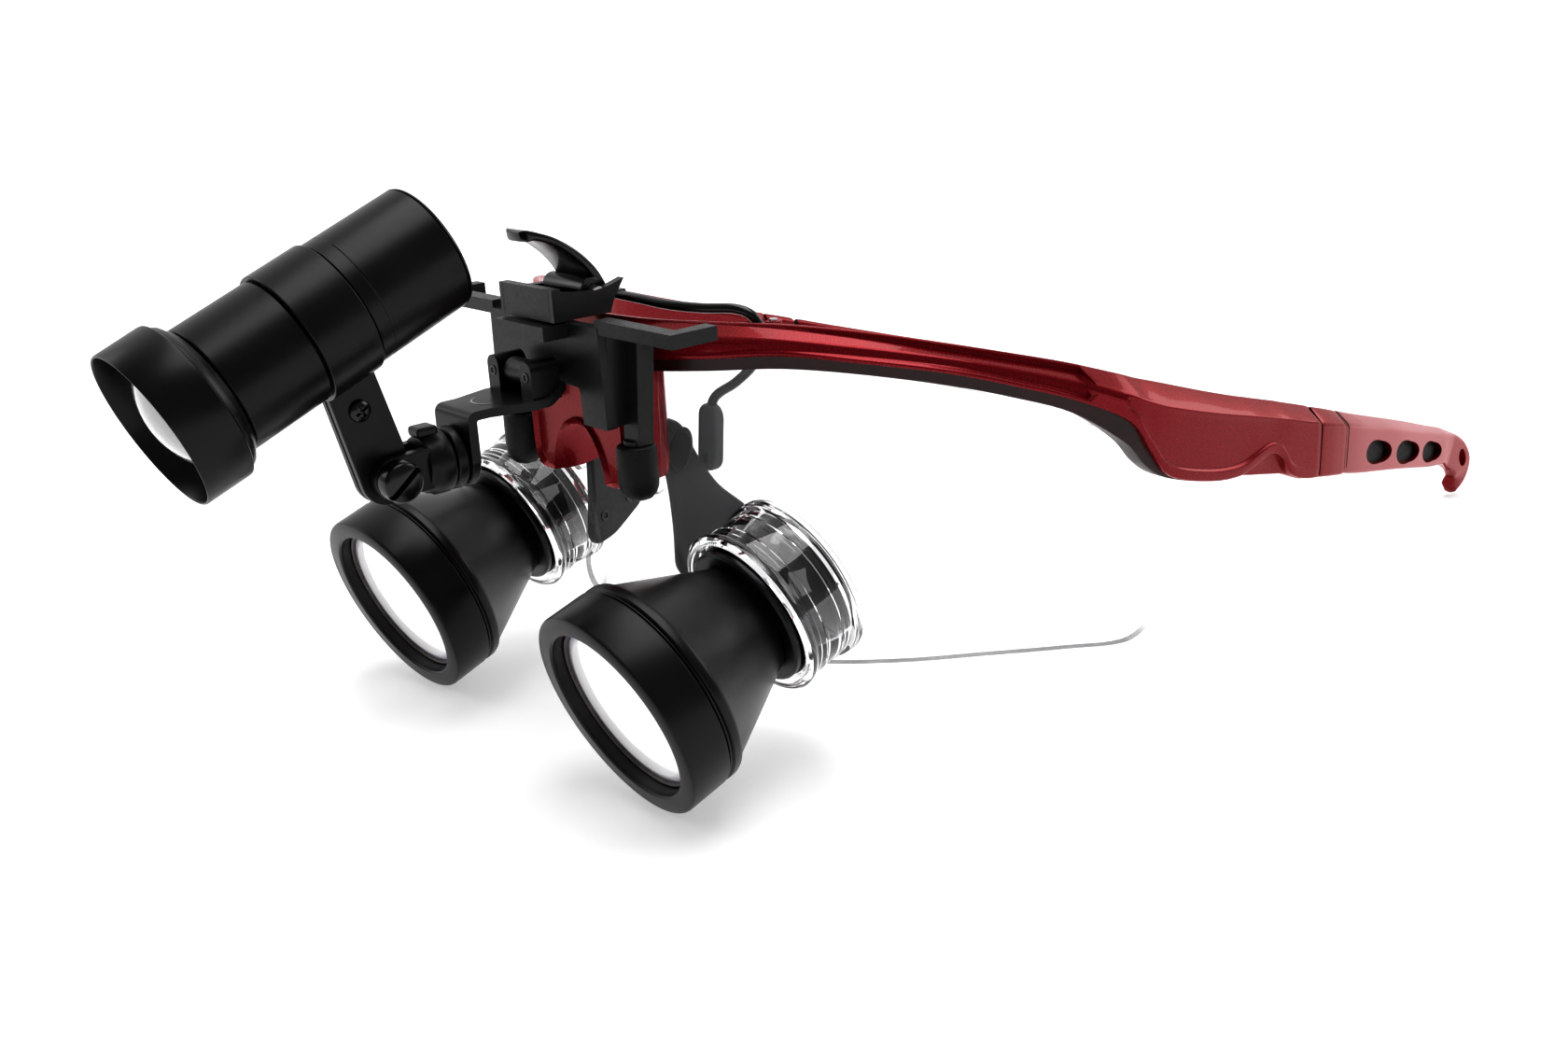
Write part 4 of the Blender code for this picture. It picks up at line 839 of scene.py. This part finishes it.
def make_nose_pad(side, word):
    """A flat pad that flares back and leans outwards and forwards below its root."""
    node = "nose_pad_" + word
    flare = Matrix.Rotation(radians(-side * NOSE_FLARE), 3, "Z")

    def pad_point(offset, y, z):
        drop = 47.0 - z
        point = flare @ Vector((side * offset, y - 25.0, z))
        return point + Vector((side * (9.4 + NOSE_LEAN[0] * drop), 26.4 + NOSE_LEAN[1] * drop, 0))

    rings = [[pad_point(offset, p.x, p.y) for p in rounded(NOSE_OUTLINE, 4)]
             for offset in (-0.8, 0.8)]
    bevel(shown(node + "_shell", skin(node, rings), NOSE, node, node), 0.45, 4)
    for y, z in ((30.4, 27.2), (36.4, 28.6)):
        turned("%s_rivet_%d" % (node, int(y)), tube(0.95, 0.45, -0.95, 0.95),
               pad_point(0, y, z), flare @ Vector(X), GLOSS, node)
    rings = [[pad_point(offset, 28.4 + 1.9 * scale * c + 0.5 * s, 42.2 + 3.4 * scale * s)
              for c, s in circle(40)]
             for offset, scale in ((0.5, 1.0), (0.95, 1.0), (1.1, 0.86), (0.95, 0.72), (0.8, 0.70))]
    shown(node + "_socket", skin(node + "_socket", rings), SLEEVE, node)


# ---- clip base

PLATE_Y = 14.2
PLATE_BACK = 16.0
POST_AT = (15.0, 18.4)


def make_clip():
    """The moulded clip: face plate, side walls, posts, wings, lip and hinge knuckle."""
    outline = rounded([(-14.4, 48.9, 0.3), (-8.6, 48.9, 0.2), (-8.3, 54.3, 0.6), (8.3, 54.3, 0.6),
                       (8.6, 48.9, 0.2), (14.4, 48.9, 0.3), (13.9, 63.4, 0.3),
                       (-13.9, 63.4, 0.3)])
    meshes = [slab_mesh(outline, PLATE_BACK - PLATE_Y, "xz", (0, (PLATE_Y + PLATE_BACK) / 2, 0))]
    wall = [(PLATE_BACK - 0.6, 48.9), (18.6, 49.2), (20.4, 63.2), (PLATE_BACK - 0.6, 63.2)]
    post = [(17.4, 46.3), (20.1, 46.3), (21.6, 62.6), (18.6, 62.6)]
    wing = [(13.2, 14.3), (30.6, 14.3), (30.6, 22.1), (28.1, 22.1), (28.1, 16.9), (13.2, 16.9)]
    for side, word in SIDES:
        meshes.append(slab_mesh(wall, 1.9, "yz", (side * 13.15, 0, 0)))
        meshes.append(slab_mesh(post, 3.4, "yz", (side * 15.3, 0, 0)))
        meshes.append(slab_mesh([(side * x, y) for x, y in wing], 2.0, "xy", (0, 0, 63.5)))
        turned("clip_pin_" + word, tube(1.75, 0.6, 40.0, 47.0), (side * POST_AT[0], POST_AT[1], 0),
               Z, PLASTIC, "clip_base")
    lip = [(10.3, 61.2), (PLATE_Y + 0.4, 61.2), (PLATE_Y + 0.4, 63.3), (10.3, 63.3)]
    meshes.append(slab_mesh(lip, 12.6, "yz"))
    meshes.append(box_mesh((-2.5, ARM_PIVOT[1] + 0.6, ARM_PIVOT[2] - 0.9),
                           (2.5, PLATE_Y + 0.4, ARM_PIVOT[2] + 0.9)))
    fused("clip_shell", meshes, PLASTIC, "clip_base", "clip_base")
    turned("arm_knuckle_shell", tube(1.9, 0.9, -2.6, 2.6), ARM_PIVOT, X, PLASTIC, "clip_base")


def make_sleeve(side, word):
    node = "post_sleeve_" + word
    profile = [(2.1, 46.2), (2.55, 46.2), (2.8, 46.0), (2.9, 45.6), (2.95, 41.0), (2.85, 40.0),
               (2.5, 39.1), (1.9, 38.4), (1.0, 38.05), (0, 38.0), (0, 39.4), (2.1, 39.6)]
    turned(node + "_shell", profile, (side * POST_AT[0], POST_AT[1], 0), Z, SLEEVE, node, node,
           edge=0)


TRAY_HALF = 6.85
TRAY_FRONT = 12.0


def make_tray():
    top = catmull([(TRAY_FRONT, 68.3), (15.2, 67.5), (18.4, 67.2), (21.4, 67.5), (24.4, 68.3)], 4)
    wall = [(TRAY_FRONT, 63.7), (21.7, 63.7), (22.4, 65.4)] + top[::-1]
    inner = TRAY_HALF - 0.5
    meshes = [box_mesh((-TRAY_HALF, TRAY_FRONT, 63.7), (TRAY_HALF, TRAY_FRONT + 1.5, 68.3)),
              box_mesh((-inner, TRAY_FRONT + 0.5, 63.7), (inner, 21.5, 64.9))]
    meshes += [slab_mesh(wall, 1.35, "yz", (side * (TRAY_HALF - 0.675), 0, 0))
               for side, _ in SIDES]
    fused("tray_shell", meshes, PLASTIC, "lever_tray", "lever_tray", edge=0.16)


# ---- lever, springs and pads

LEVER_SECTIONS = ((22.4, 65.6, 5.0, 1.3), (21.4, 67.8, 5.0, 1.4), (20.1, 69.9, 4.9, 1.3),
                  (18.0, 72.1, 4.6, 1.2), (15.2, 74.1, 4.2, 1.1), (12.9, 75.1, 3.6, 1.1),
                  (11.7, 75.3, 2.8, 1.6), (11.1, 75.25, 1.6, 1.3))
WIRE_ROUTE = ((4.6, 25.0, 65.5), (8.6, 26.2, 65.0), (13.0, 27.4, 64.5), (18.0, 29.6, 64.2),
              (22.6, 31.9, 64.2), (24.9, 33.2, 63.1), (25.3, 33.9, 60.6), (24.2, 33.6, 56.6),
              (21.0, 32.6, 53.4), (17.8, 31.8, 51.4), (16.2, 31.6, 49.6), (15.8, 31.6, 46.5))
PAD_CENTRE = (15.4, 31.6, 44.5)


def make_lever():
    line = catmull([(0, row[0], row[1]) for row in LEVER_SECTIONS], 4)
    sizes = catmull([row[2:] for row in LEVER_SECTIONS], 4)
    rings = []
    for i, (centre, size) in enumerate(zip(line, sizes)):
        ahead = line[min(i + 1, len(line) - 1)] - line[max(i - 1, 0)]
        normal = Vector((0, -ahead.z, ahead.y)).normalized()
        half, thick = size.x, size.y / 2
        corners = ((-half, -thick, 0.5), (half, -thick, 0.5), (half, thick, 0.5),
                   (-half, thick, 0.5))
        rings.append([centre + Vector((p.x, 0, 0)) + normal * (p.y - 0.35 * (p.x / half) ** 2)
                      for p in rounded(corners, 4)])
    shown("lever_blade", skin("lever_blade", rings, angle=50), GLOSS, "clip_lever", "clip_lever")
    turned("lever_hub", tube(1.9, 0.9, -5.0, 5.0), CLIP_PIVOT, X, GLOSS, "clip_lever")
    box("lever_tail", (-5.0, CLIP_PIVOT[1], 65.15), (5.0, 26.1, 66.3), GLOSS, "clip_lever",
        edge=0.3)


def align(before, ring):
    """The same ring, started at the point nearest the previous ring's start."""
    start = min(range(len(ring)), key=lambda k: (ring[k] - before[0]).length)
    ring = ring[start:] + ring[:start]
    if (ring[1] - before[1]).length > (ring[-1] - before[1]).length:
        ring = ring[:1] + ring[:0:-1]
    return ring


def make_wire(side, word):
    """A spring wire, flattened at its root, and the rounded pad on its end."""
    route = catmull([(side * x, y, z) for x, y, z in WIRE_ROUTE], 6)
    rings = []
    total = len(route) - 1
    for i, centre in enumerate(route):
        ahead = (route[min(i + 1, total)] - route[max(i - 1, 0)]).normalized()
        across = ahead.cross(Vector(Z if abs(ahead.z) < 0.8 else Y)).normalized()
        rise = across.cross(ahead).normalized()
        share = min(i / (total * 0.22), 1.0)
        wide, tall = 1.25 - 0.5 * share, 0.62 + 0.1 * share
        ring = [centre + across * wide * c + rise * tall * s for c, s in circle(20)]
        rings.append(align(rings[-1], ring) if rings else ring)
    node = "spring_wire_" + word
    shown(node + "_shell", skin(node, rings), GLOSS, node, node)

    lean = radians(-7 * side)
    centre = (side * PAD_CENTRE[0], PAD_CENTRE[1], PAD_CENTRE[2])
    node = "spring_pad_" + word

    def pad_slab(name, outline, thickness, material, *replaced, **settings):
        points = [(u * cos(lean) - v * sin(lean), u * sin(lean) + v * cos(lean))
                  for u, v in outline]
        slab(node + name, points, thickness, "xz", material, node, *replaced, origin=centre,
             **settings)

    pad_slab("_shell", arc((0, 3.1), 2.1, 0, 180, 12) + arc((0, -3.1), 2.1, 180, 360, 12), 1.9,
             PAD, node, edge=0.5, segments=4)
    pad_slab("_mark", [(0.558 * c, -3.2 + 0.95 * s) for c, s in circle(24)], 2.04, SLEEVE, edge=0)


# ---- lamp arm, fork and screws

ARM_TOP = 53.3
ARM_UNDER = 52.0
LUG_X = 4.3
LUG_R = 1.45


def make_arm():
    """A bent plate that widens at its root, with two lugs on top and the swivel tab below."""
    node = "lamp_arm"
    sheet = rounded([(-2.0, 46.0, 0.1), (-0.6, 46.0, 0.1), (-0.6, ARM_UNDER, 0.4),
                     (10.6, ARM_UNDER, 0.8), (13.2, ARM_UNDER + 1.9, 0.1),
                     (13.2, ARM_UNDER + 3.2, 0.2), (10.2, ARM_TOP, 1.2), (-2.0, ARM_TOP, 1.5)], 5)
    shape = [(-4.6, -3.0), (4.6, -3.0), (4.6, 1.5), (6.4, 7.4), (6.4, 14.0), (-6.4, 14.0),
             (-6.4, 7.4), (-4.6, 1.5)]
    blank = hidden_cutter("arm_blank", slab_mesh(sheet, 14.0, "yz"))
    outline = hidden_cutter("arm_outline", slab_mesh(shape, 16.0, "xy", (0, 0, 50.0)))
    plate = apply_booleans(blank, [outline], "INTERSECT")
    meshes = [plate.data]
    bpy.data.objects.remove(plate, do_unlink=True)
    for side, word in SIDES:
        centre = side * LUG_X
        lug = [(centre - LUG_R, ARM_TOP - 0.5), (centre + LUG_R, ARM_TOP - 0.5)]
        lug += arc((centre, 57.1), LUG_R, 0, 180, 16)
        meshes.append(slab_mesh(lug, 4.8, "xz", (0, 10.4, 0)))
        turned("set_screw_" + word, tube(0.75, 0.4, -0.12, 0.35), (centre, 8.0, 56.3), Y, GLOSS,
               node, edge=0.05)
    fused("arm_shell", meshes, ANODISED, node, node, edge=0.18)
    turned("arm_tab", tube(4.6, 1.5, -1.9, -0.6), (0, 0, SWIVEL_Z), Y, ANODISED, node, edge=0.2)
    scribe = arc((0, 4.4), 2.7, 200, 340, 24) + arc((0, 4.4), 2.5, 200, 340, 24)[::-1]
    slab("arm_scribe", scribe, 0.06, "xy", STEEL, node, edge=0, origin=(0, 0, ARM_TOP + 0.02))
    turned("swivel_washer_shell", tube(4.5, 1.5, -4.0, -2.3), (0, 0, SWIVEL_Z), Y,
           ANODISED, "swivel_washer", "swivel_washer", edge=0.35)


def make_fork():
    node = "lamp_fork"
    turned("fork_hub", [(4.5, -4.3), (4.6, -4.6), (4.6, -6.4), (4.2, -7.0), (4.2, -7.4),
                        (3.9, -8.0), (1.5, -8.0), (1.5, -4.3)], (0, 0, SWIVEL_Z), Y,
           ANODISED, node, node)
    cheek = arc((TILT_PIVOT[1], TILT_PIVOT[2]), 2.9, 90, 270, 18)
    cheek += [(-7.4, 43.6), (-7.4, 49.4)]
    for side, word in SIDES:
        slab("fork_cheek_" + word, cheek, 1.65, "yz", ANODISED, node, edge=0.2,
             origin=(side * 2.475, 0, 0))
    box("fork_top_stop", (-1.6, -8.2, 50.4), (1.6, -5.0, 51.9), ANODISED, node, edge=0.5)
    turned("swivel_rivet_shell", [(0, 0.9), (1.2, 0.85), (1.8, 0.6), (2.2, 0.1), (2.2, -0.2),
                                  (1.2, -0.2), (1.2, -6.2), (0, -6.2)], (0, 0, SWIVEL_Z),
           Y, GLOSS, "swivel_rivet", "swivel_rivet", edge=0)
    head = 3.6
    screw = turned("pivot_screw_shell", [
        (0, head + 2.7), (2.4, head + 2.65), (2.75, head + 2.4), (2.9, head + 2.0),
        (2.9, head + 0.2), (2.75, head), (1.2, head), (1.2, -5.4), (0, -5.4)], TILT_PIVOT,
        X, GLOSS, "pivot_screw", "pivot_screw", edge=0, steps=64)
    slot_axes = axis_frame(TILT_PIVOT, X) @ Matrix.Rotation(radians(38), 4, "Z")
    cut_prism(screw, slot_axes, (-4, 4), (-0.42, 0.42), (head + 1.6, head + 4))
    turned("pivot_nut_shell", [(2.3, -head), (2.4, -head - 0.2), (2.4, -head - 1.6),
                               (2.2, -head - 1.8), (1.5, -head - 1.8), (1.5, -head)], TILT_PIVOT,
           X, GLOSS, "pivot_nut", "pivot_nut", steps=6, edge=0.2)


def cut_prism(obj, matrix, x_span, y_span, z_span):
    """Cuts a box, given in a matrix's own axes, out of a piece."""
    bm = bmesh.new()
    bmesh.ops.create_cube(bm, size=1.0)
    for vert in bm.verts:
        for axis, span in enumerate((x_span, y_span, z_span)):
            vert.co[axis] = (span[0] if vert.co[axis] < 0 else span[1]) * MM
    apply_booleans(obj, [hidden_cutter("prism_tool", mesh_from(bm, "prism_tool"), matrix)])
    smooth(obj.data)


# ---- lamp

LAMP_DIRECTION = (0.0, cos(LAMP_TILT), sin(LAMP_TILT))
EAR_R = 4.0


def lamp_point(station, drop):
    along = Vector(LAMP_DIRECTION)
    down = Vector((0, sin(LAMP_TILT), -cos(LAMP_TILT)))
    return Vector(LAMP_FRONT) + along * station + down * drop


def make_lamp():
    def ring(name, profile, material, node, edge):
        turned(name, profile, LAMP_FRONT, LAMP_DIRECTION, material, node, node, edge=edge)

    ring("hood_shell", [
        (9.1, 8.7), (9.5, 8.3), (10.2, 7.8), (10.6, 7.0), (11.1, 6.75), (11.15, 6.3),
        (11.05, 0.2), (10.95, 0.0), (10.75, 0.02), (10.65, 0.3), (10.4, 3.0), (9.9, 6.1),
        (7.2, 6.4), (7.2, 8.7)], ANODISED, "lamp_hood", 0.08)
    apex, bulge = 0.4, 12.0
    dome = [(bulge * sin(radians(a)), apex + bulge * (1 - cos(radians(a))))
            for a in range(0, 49, 4)]
    ring("lamp_dome", dome + [(8.9, 6.0), (0, 6.0)], LAMP_GLASS, "lamp_lens", 0)
    ring("barrel_shell", [(8.2, 36.0), (8.2, 20.5), (8.9, 20.5), (8.9, 9.2), (8.7, 9.0),
                          (7.4, 9.0), (7.4, 36.0)], ANODISED, "lamp_barrel", 0.1)
    ring("rear_body_shell", [
        (9.0, 43.6), (9.0, 31.2), (8.94, 31.15), (8.94, 31.05), (9.0, 31.0), (9.0, 29.1),
        (8.5, 29.1), (8.5, 43.6)], ANODISED, "lamp_rear_body", 0.06)
    ring("end_cap_shell", [
        (0, 46.6), (0.9, 46.6), (1.3, 46.3), (1.3, 45.6), (1.9, 45.4), (2.1, 45.1), (2.1, 44.45),
        (8.3, 44.4), (8.85, 44.15), (9.0, 43.85), (0, 43.8)], ANODISED, "lamp_end_cap", 0)
    ring("clamp_band", tube(9.4, 8.5, 20.8, 28.8), ANODISED, "lamp_clamp", 0.18)
    make_ears()


def make_ears():
    node = "lamp_clamp"
    pivot = Vector(TILT_PIVOT)
    corners = [lamp_point(28.6, 8.75), lamp_point(21.2, 8.75)]
    bottom = [pivot + Vector((0, -EAR_R * cos(LAMP_TILT + radians(d)),
                              -EAR_R * sin(LAMP_TILT + radians(d))))
              for d in range(-10, 200, 10)]
    outline = [(p.y, p.z) for p in corners + bottom]
    for side, word in SIDES:
        slab("clamp_ear_" + word, outline, 1.2, "yz", ANODISED, node, edge=0.2,
             origin=(side * 0.77, 0, 0))
    at = lamp_point(24.0, 12.9)
    head = turned("clamp_screw_shell", [
        (0, 2.15), (0.8, 2.1), (1.3, 1.9), (1.55, 1.6), (1.6, 1.35), (1.6, 1.1), (0.7, 1.1),
        (0.7, -1.3), (0, -1.3)], at, X, GLOSS, "clamp_screw", "clamp_screw", edge=0)
    cross_axes = axis_frame(at, X) @ Matrix.Rotation(radians(30), 4, "Z")
    cut_prism(head, cross_axes, (-0.95, 0.95), (-0.2, 0.2), (1.5, 3.0))
    cut_prism(head, cross_axes, (-0.2, 0.2), (-0.95, 0.95), (1.5, 3.0))


# ---- CAD nodes that stay

def dress_cad():
    """Nodes whose CAD shape stays take the finish of their slot."""
    for name, obj in frame["nodes"].items():
        obj.data.materials.clear()
        obj.data.materials.append(CAD_LOOK[SLOT_OF[name]])


# ---- stage

FLOOR_HALF = 6.0
FLOOR_GAP = 0.0002
FRONT_SKY = 0.22
BACK_SKY = 1.05
CAMERA_AT = (194.8, -107.8, 106.4)
CAMERA_AZIMUTH = radians(49.61)
CAMERA_ELEVATION = radians(18.37)
CAMERA_ROLL = radians(-3.12)
CAMERA_LENS = 36.66


def make_stage():
    bm = bmesh.new()
    bmesh.ops.create_grid(bm, x_segments=1, y_segments=1, size=FLOOR_HALF)
    floor = add_object("floor", mesh_from(bm, "floor"))
    floor.location.z = -FLOOR_GAP
    n = Nodes("pale_floor")
    haze = n.noise(3, 2.0)
    reach = n.add("ShaderNodeVectorMath", operation="LENGTH")
    n.link(n.coords, reach.inputs[0])
    floor.data.materials.append(n.set(
        Base_Color=n.ramp(haze, (0.70, 0.70, 0.705), (0.72, 0.72, 0.72)), Roughness=0.85,
        Specular_IOR_Level=0.1, Emission_Color=(1.0, 1.0, 1.0, 1.0),
        Emission_Strength=n.span(reach.outputs["Value"], 0.40, 1.0, 0.30, 1.1)))

    world = bpy.data.worlds.new("studio")
    bpy.context.scene.world = world
    world.use_nodes = True
    tree = world.node_tree
    coords = tree.nodes.new("ShaderNodeTexCoord")
    toward = tree.nodes.new("ShaderNodeVectorMath")
    toward.operation = "DOT_PRODUCT"
    toward.inputs[1].default_value = (-sin(CAMERA_AZIMUTH), cos(CAMERA_AZIMUTH), 0.0)
    spread = tree.nodes.new("ShaderNodeMapRange")
    spread.interpolation_type = "SMOOTHSTEP"
    set_range(spread, -0.25, 0.55, FRONT_SKY, BACK_SKY)
    tree.links.new(coords.outputs["Generated"], toward.inputs[0])
    tree.links.new(toward.outputs["Value"], spread.inputs["Value"])
    background = tree.nodes["Background"]
    background.inputs["Color"].default_value = (1.0, 1.0, 1.0, 1.0)
    tree.links.new(spread.outputs["Result"], background.inputs["Strength"])
    area("top_softbox", (0.05, 0.10, 1.15), (0.0, 0.0, 0.0), 1.1, 0.7, 12.0)
    area("left_softbox", (-0.95, -0.75, 0.75), (0.0, -0.02, 0.03), 0.7, 0.7, 3.0)
    area("rear_softbox", (0.55, 1.15, 0.75), (0.0, 0.05, 0.03), 1.0, 0.7, 7.0)


def area(name, location, target, width, height, power):
    light = bpy.data.lights.new(name, "AREA")
    light.shape = "RECTANGLE"
    light.size, light.size_y = width, height
    light.energy = power
    obj = add_object(name, light)
    obj.location = location
    obj.rotation_euler = (Vector(location) - Vector(target)).to_track_quat("Z", "Y").to_euler()


def make_camera():
    camera = bpy.data.cameras.new("camera")
    camera.sensor_width = 36.0
    camera.lens = CAMERA_LENS
    camera.clip_start = 0.01
    obj = add_object("camera", camera)
    az, el, roll = CAMERA_AZIMUTH, CAMERA_ELEVATION, CAMERA_ROLL
    back = Vector((sin(az) * cos(el), -cos(az) * cos(el), sin(el)))
    level = (-back).cross(Vector(Z)).normalized()
    rise = level.cross(-back)
    right = cos(roll) * level + sin(roll) * rise
    up = -sin(roll) * level + cos(roll) * rise
    turn = Matrix((right, up, back)).transposed().to_4x4()
    obj.matrix_world = Matrix.Translation(place(CAMERA_AT)) @ turn
    bpy.context.scene.camera = obj
    view = bpy.context.scene.view_settings
    view.view_transform = "Standard"
    view.gamma = 0.84


dress_cad()
make_front()
for pair in SIDES:
    for make in (make_temple, make_shield, make_loupe, make_nose_pad, make_sleeve, make_wire):
        make(*pair)
for make in (make_clip, make_tray, make_lever, make_arm, make_fork, make_lamp, make_stage,
             make_camera):
    make()
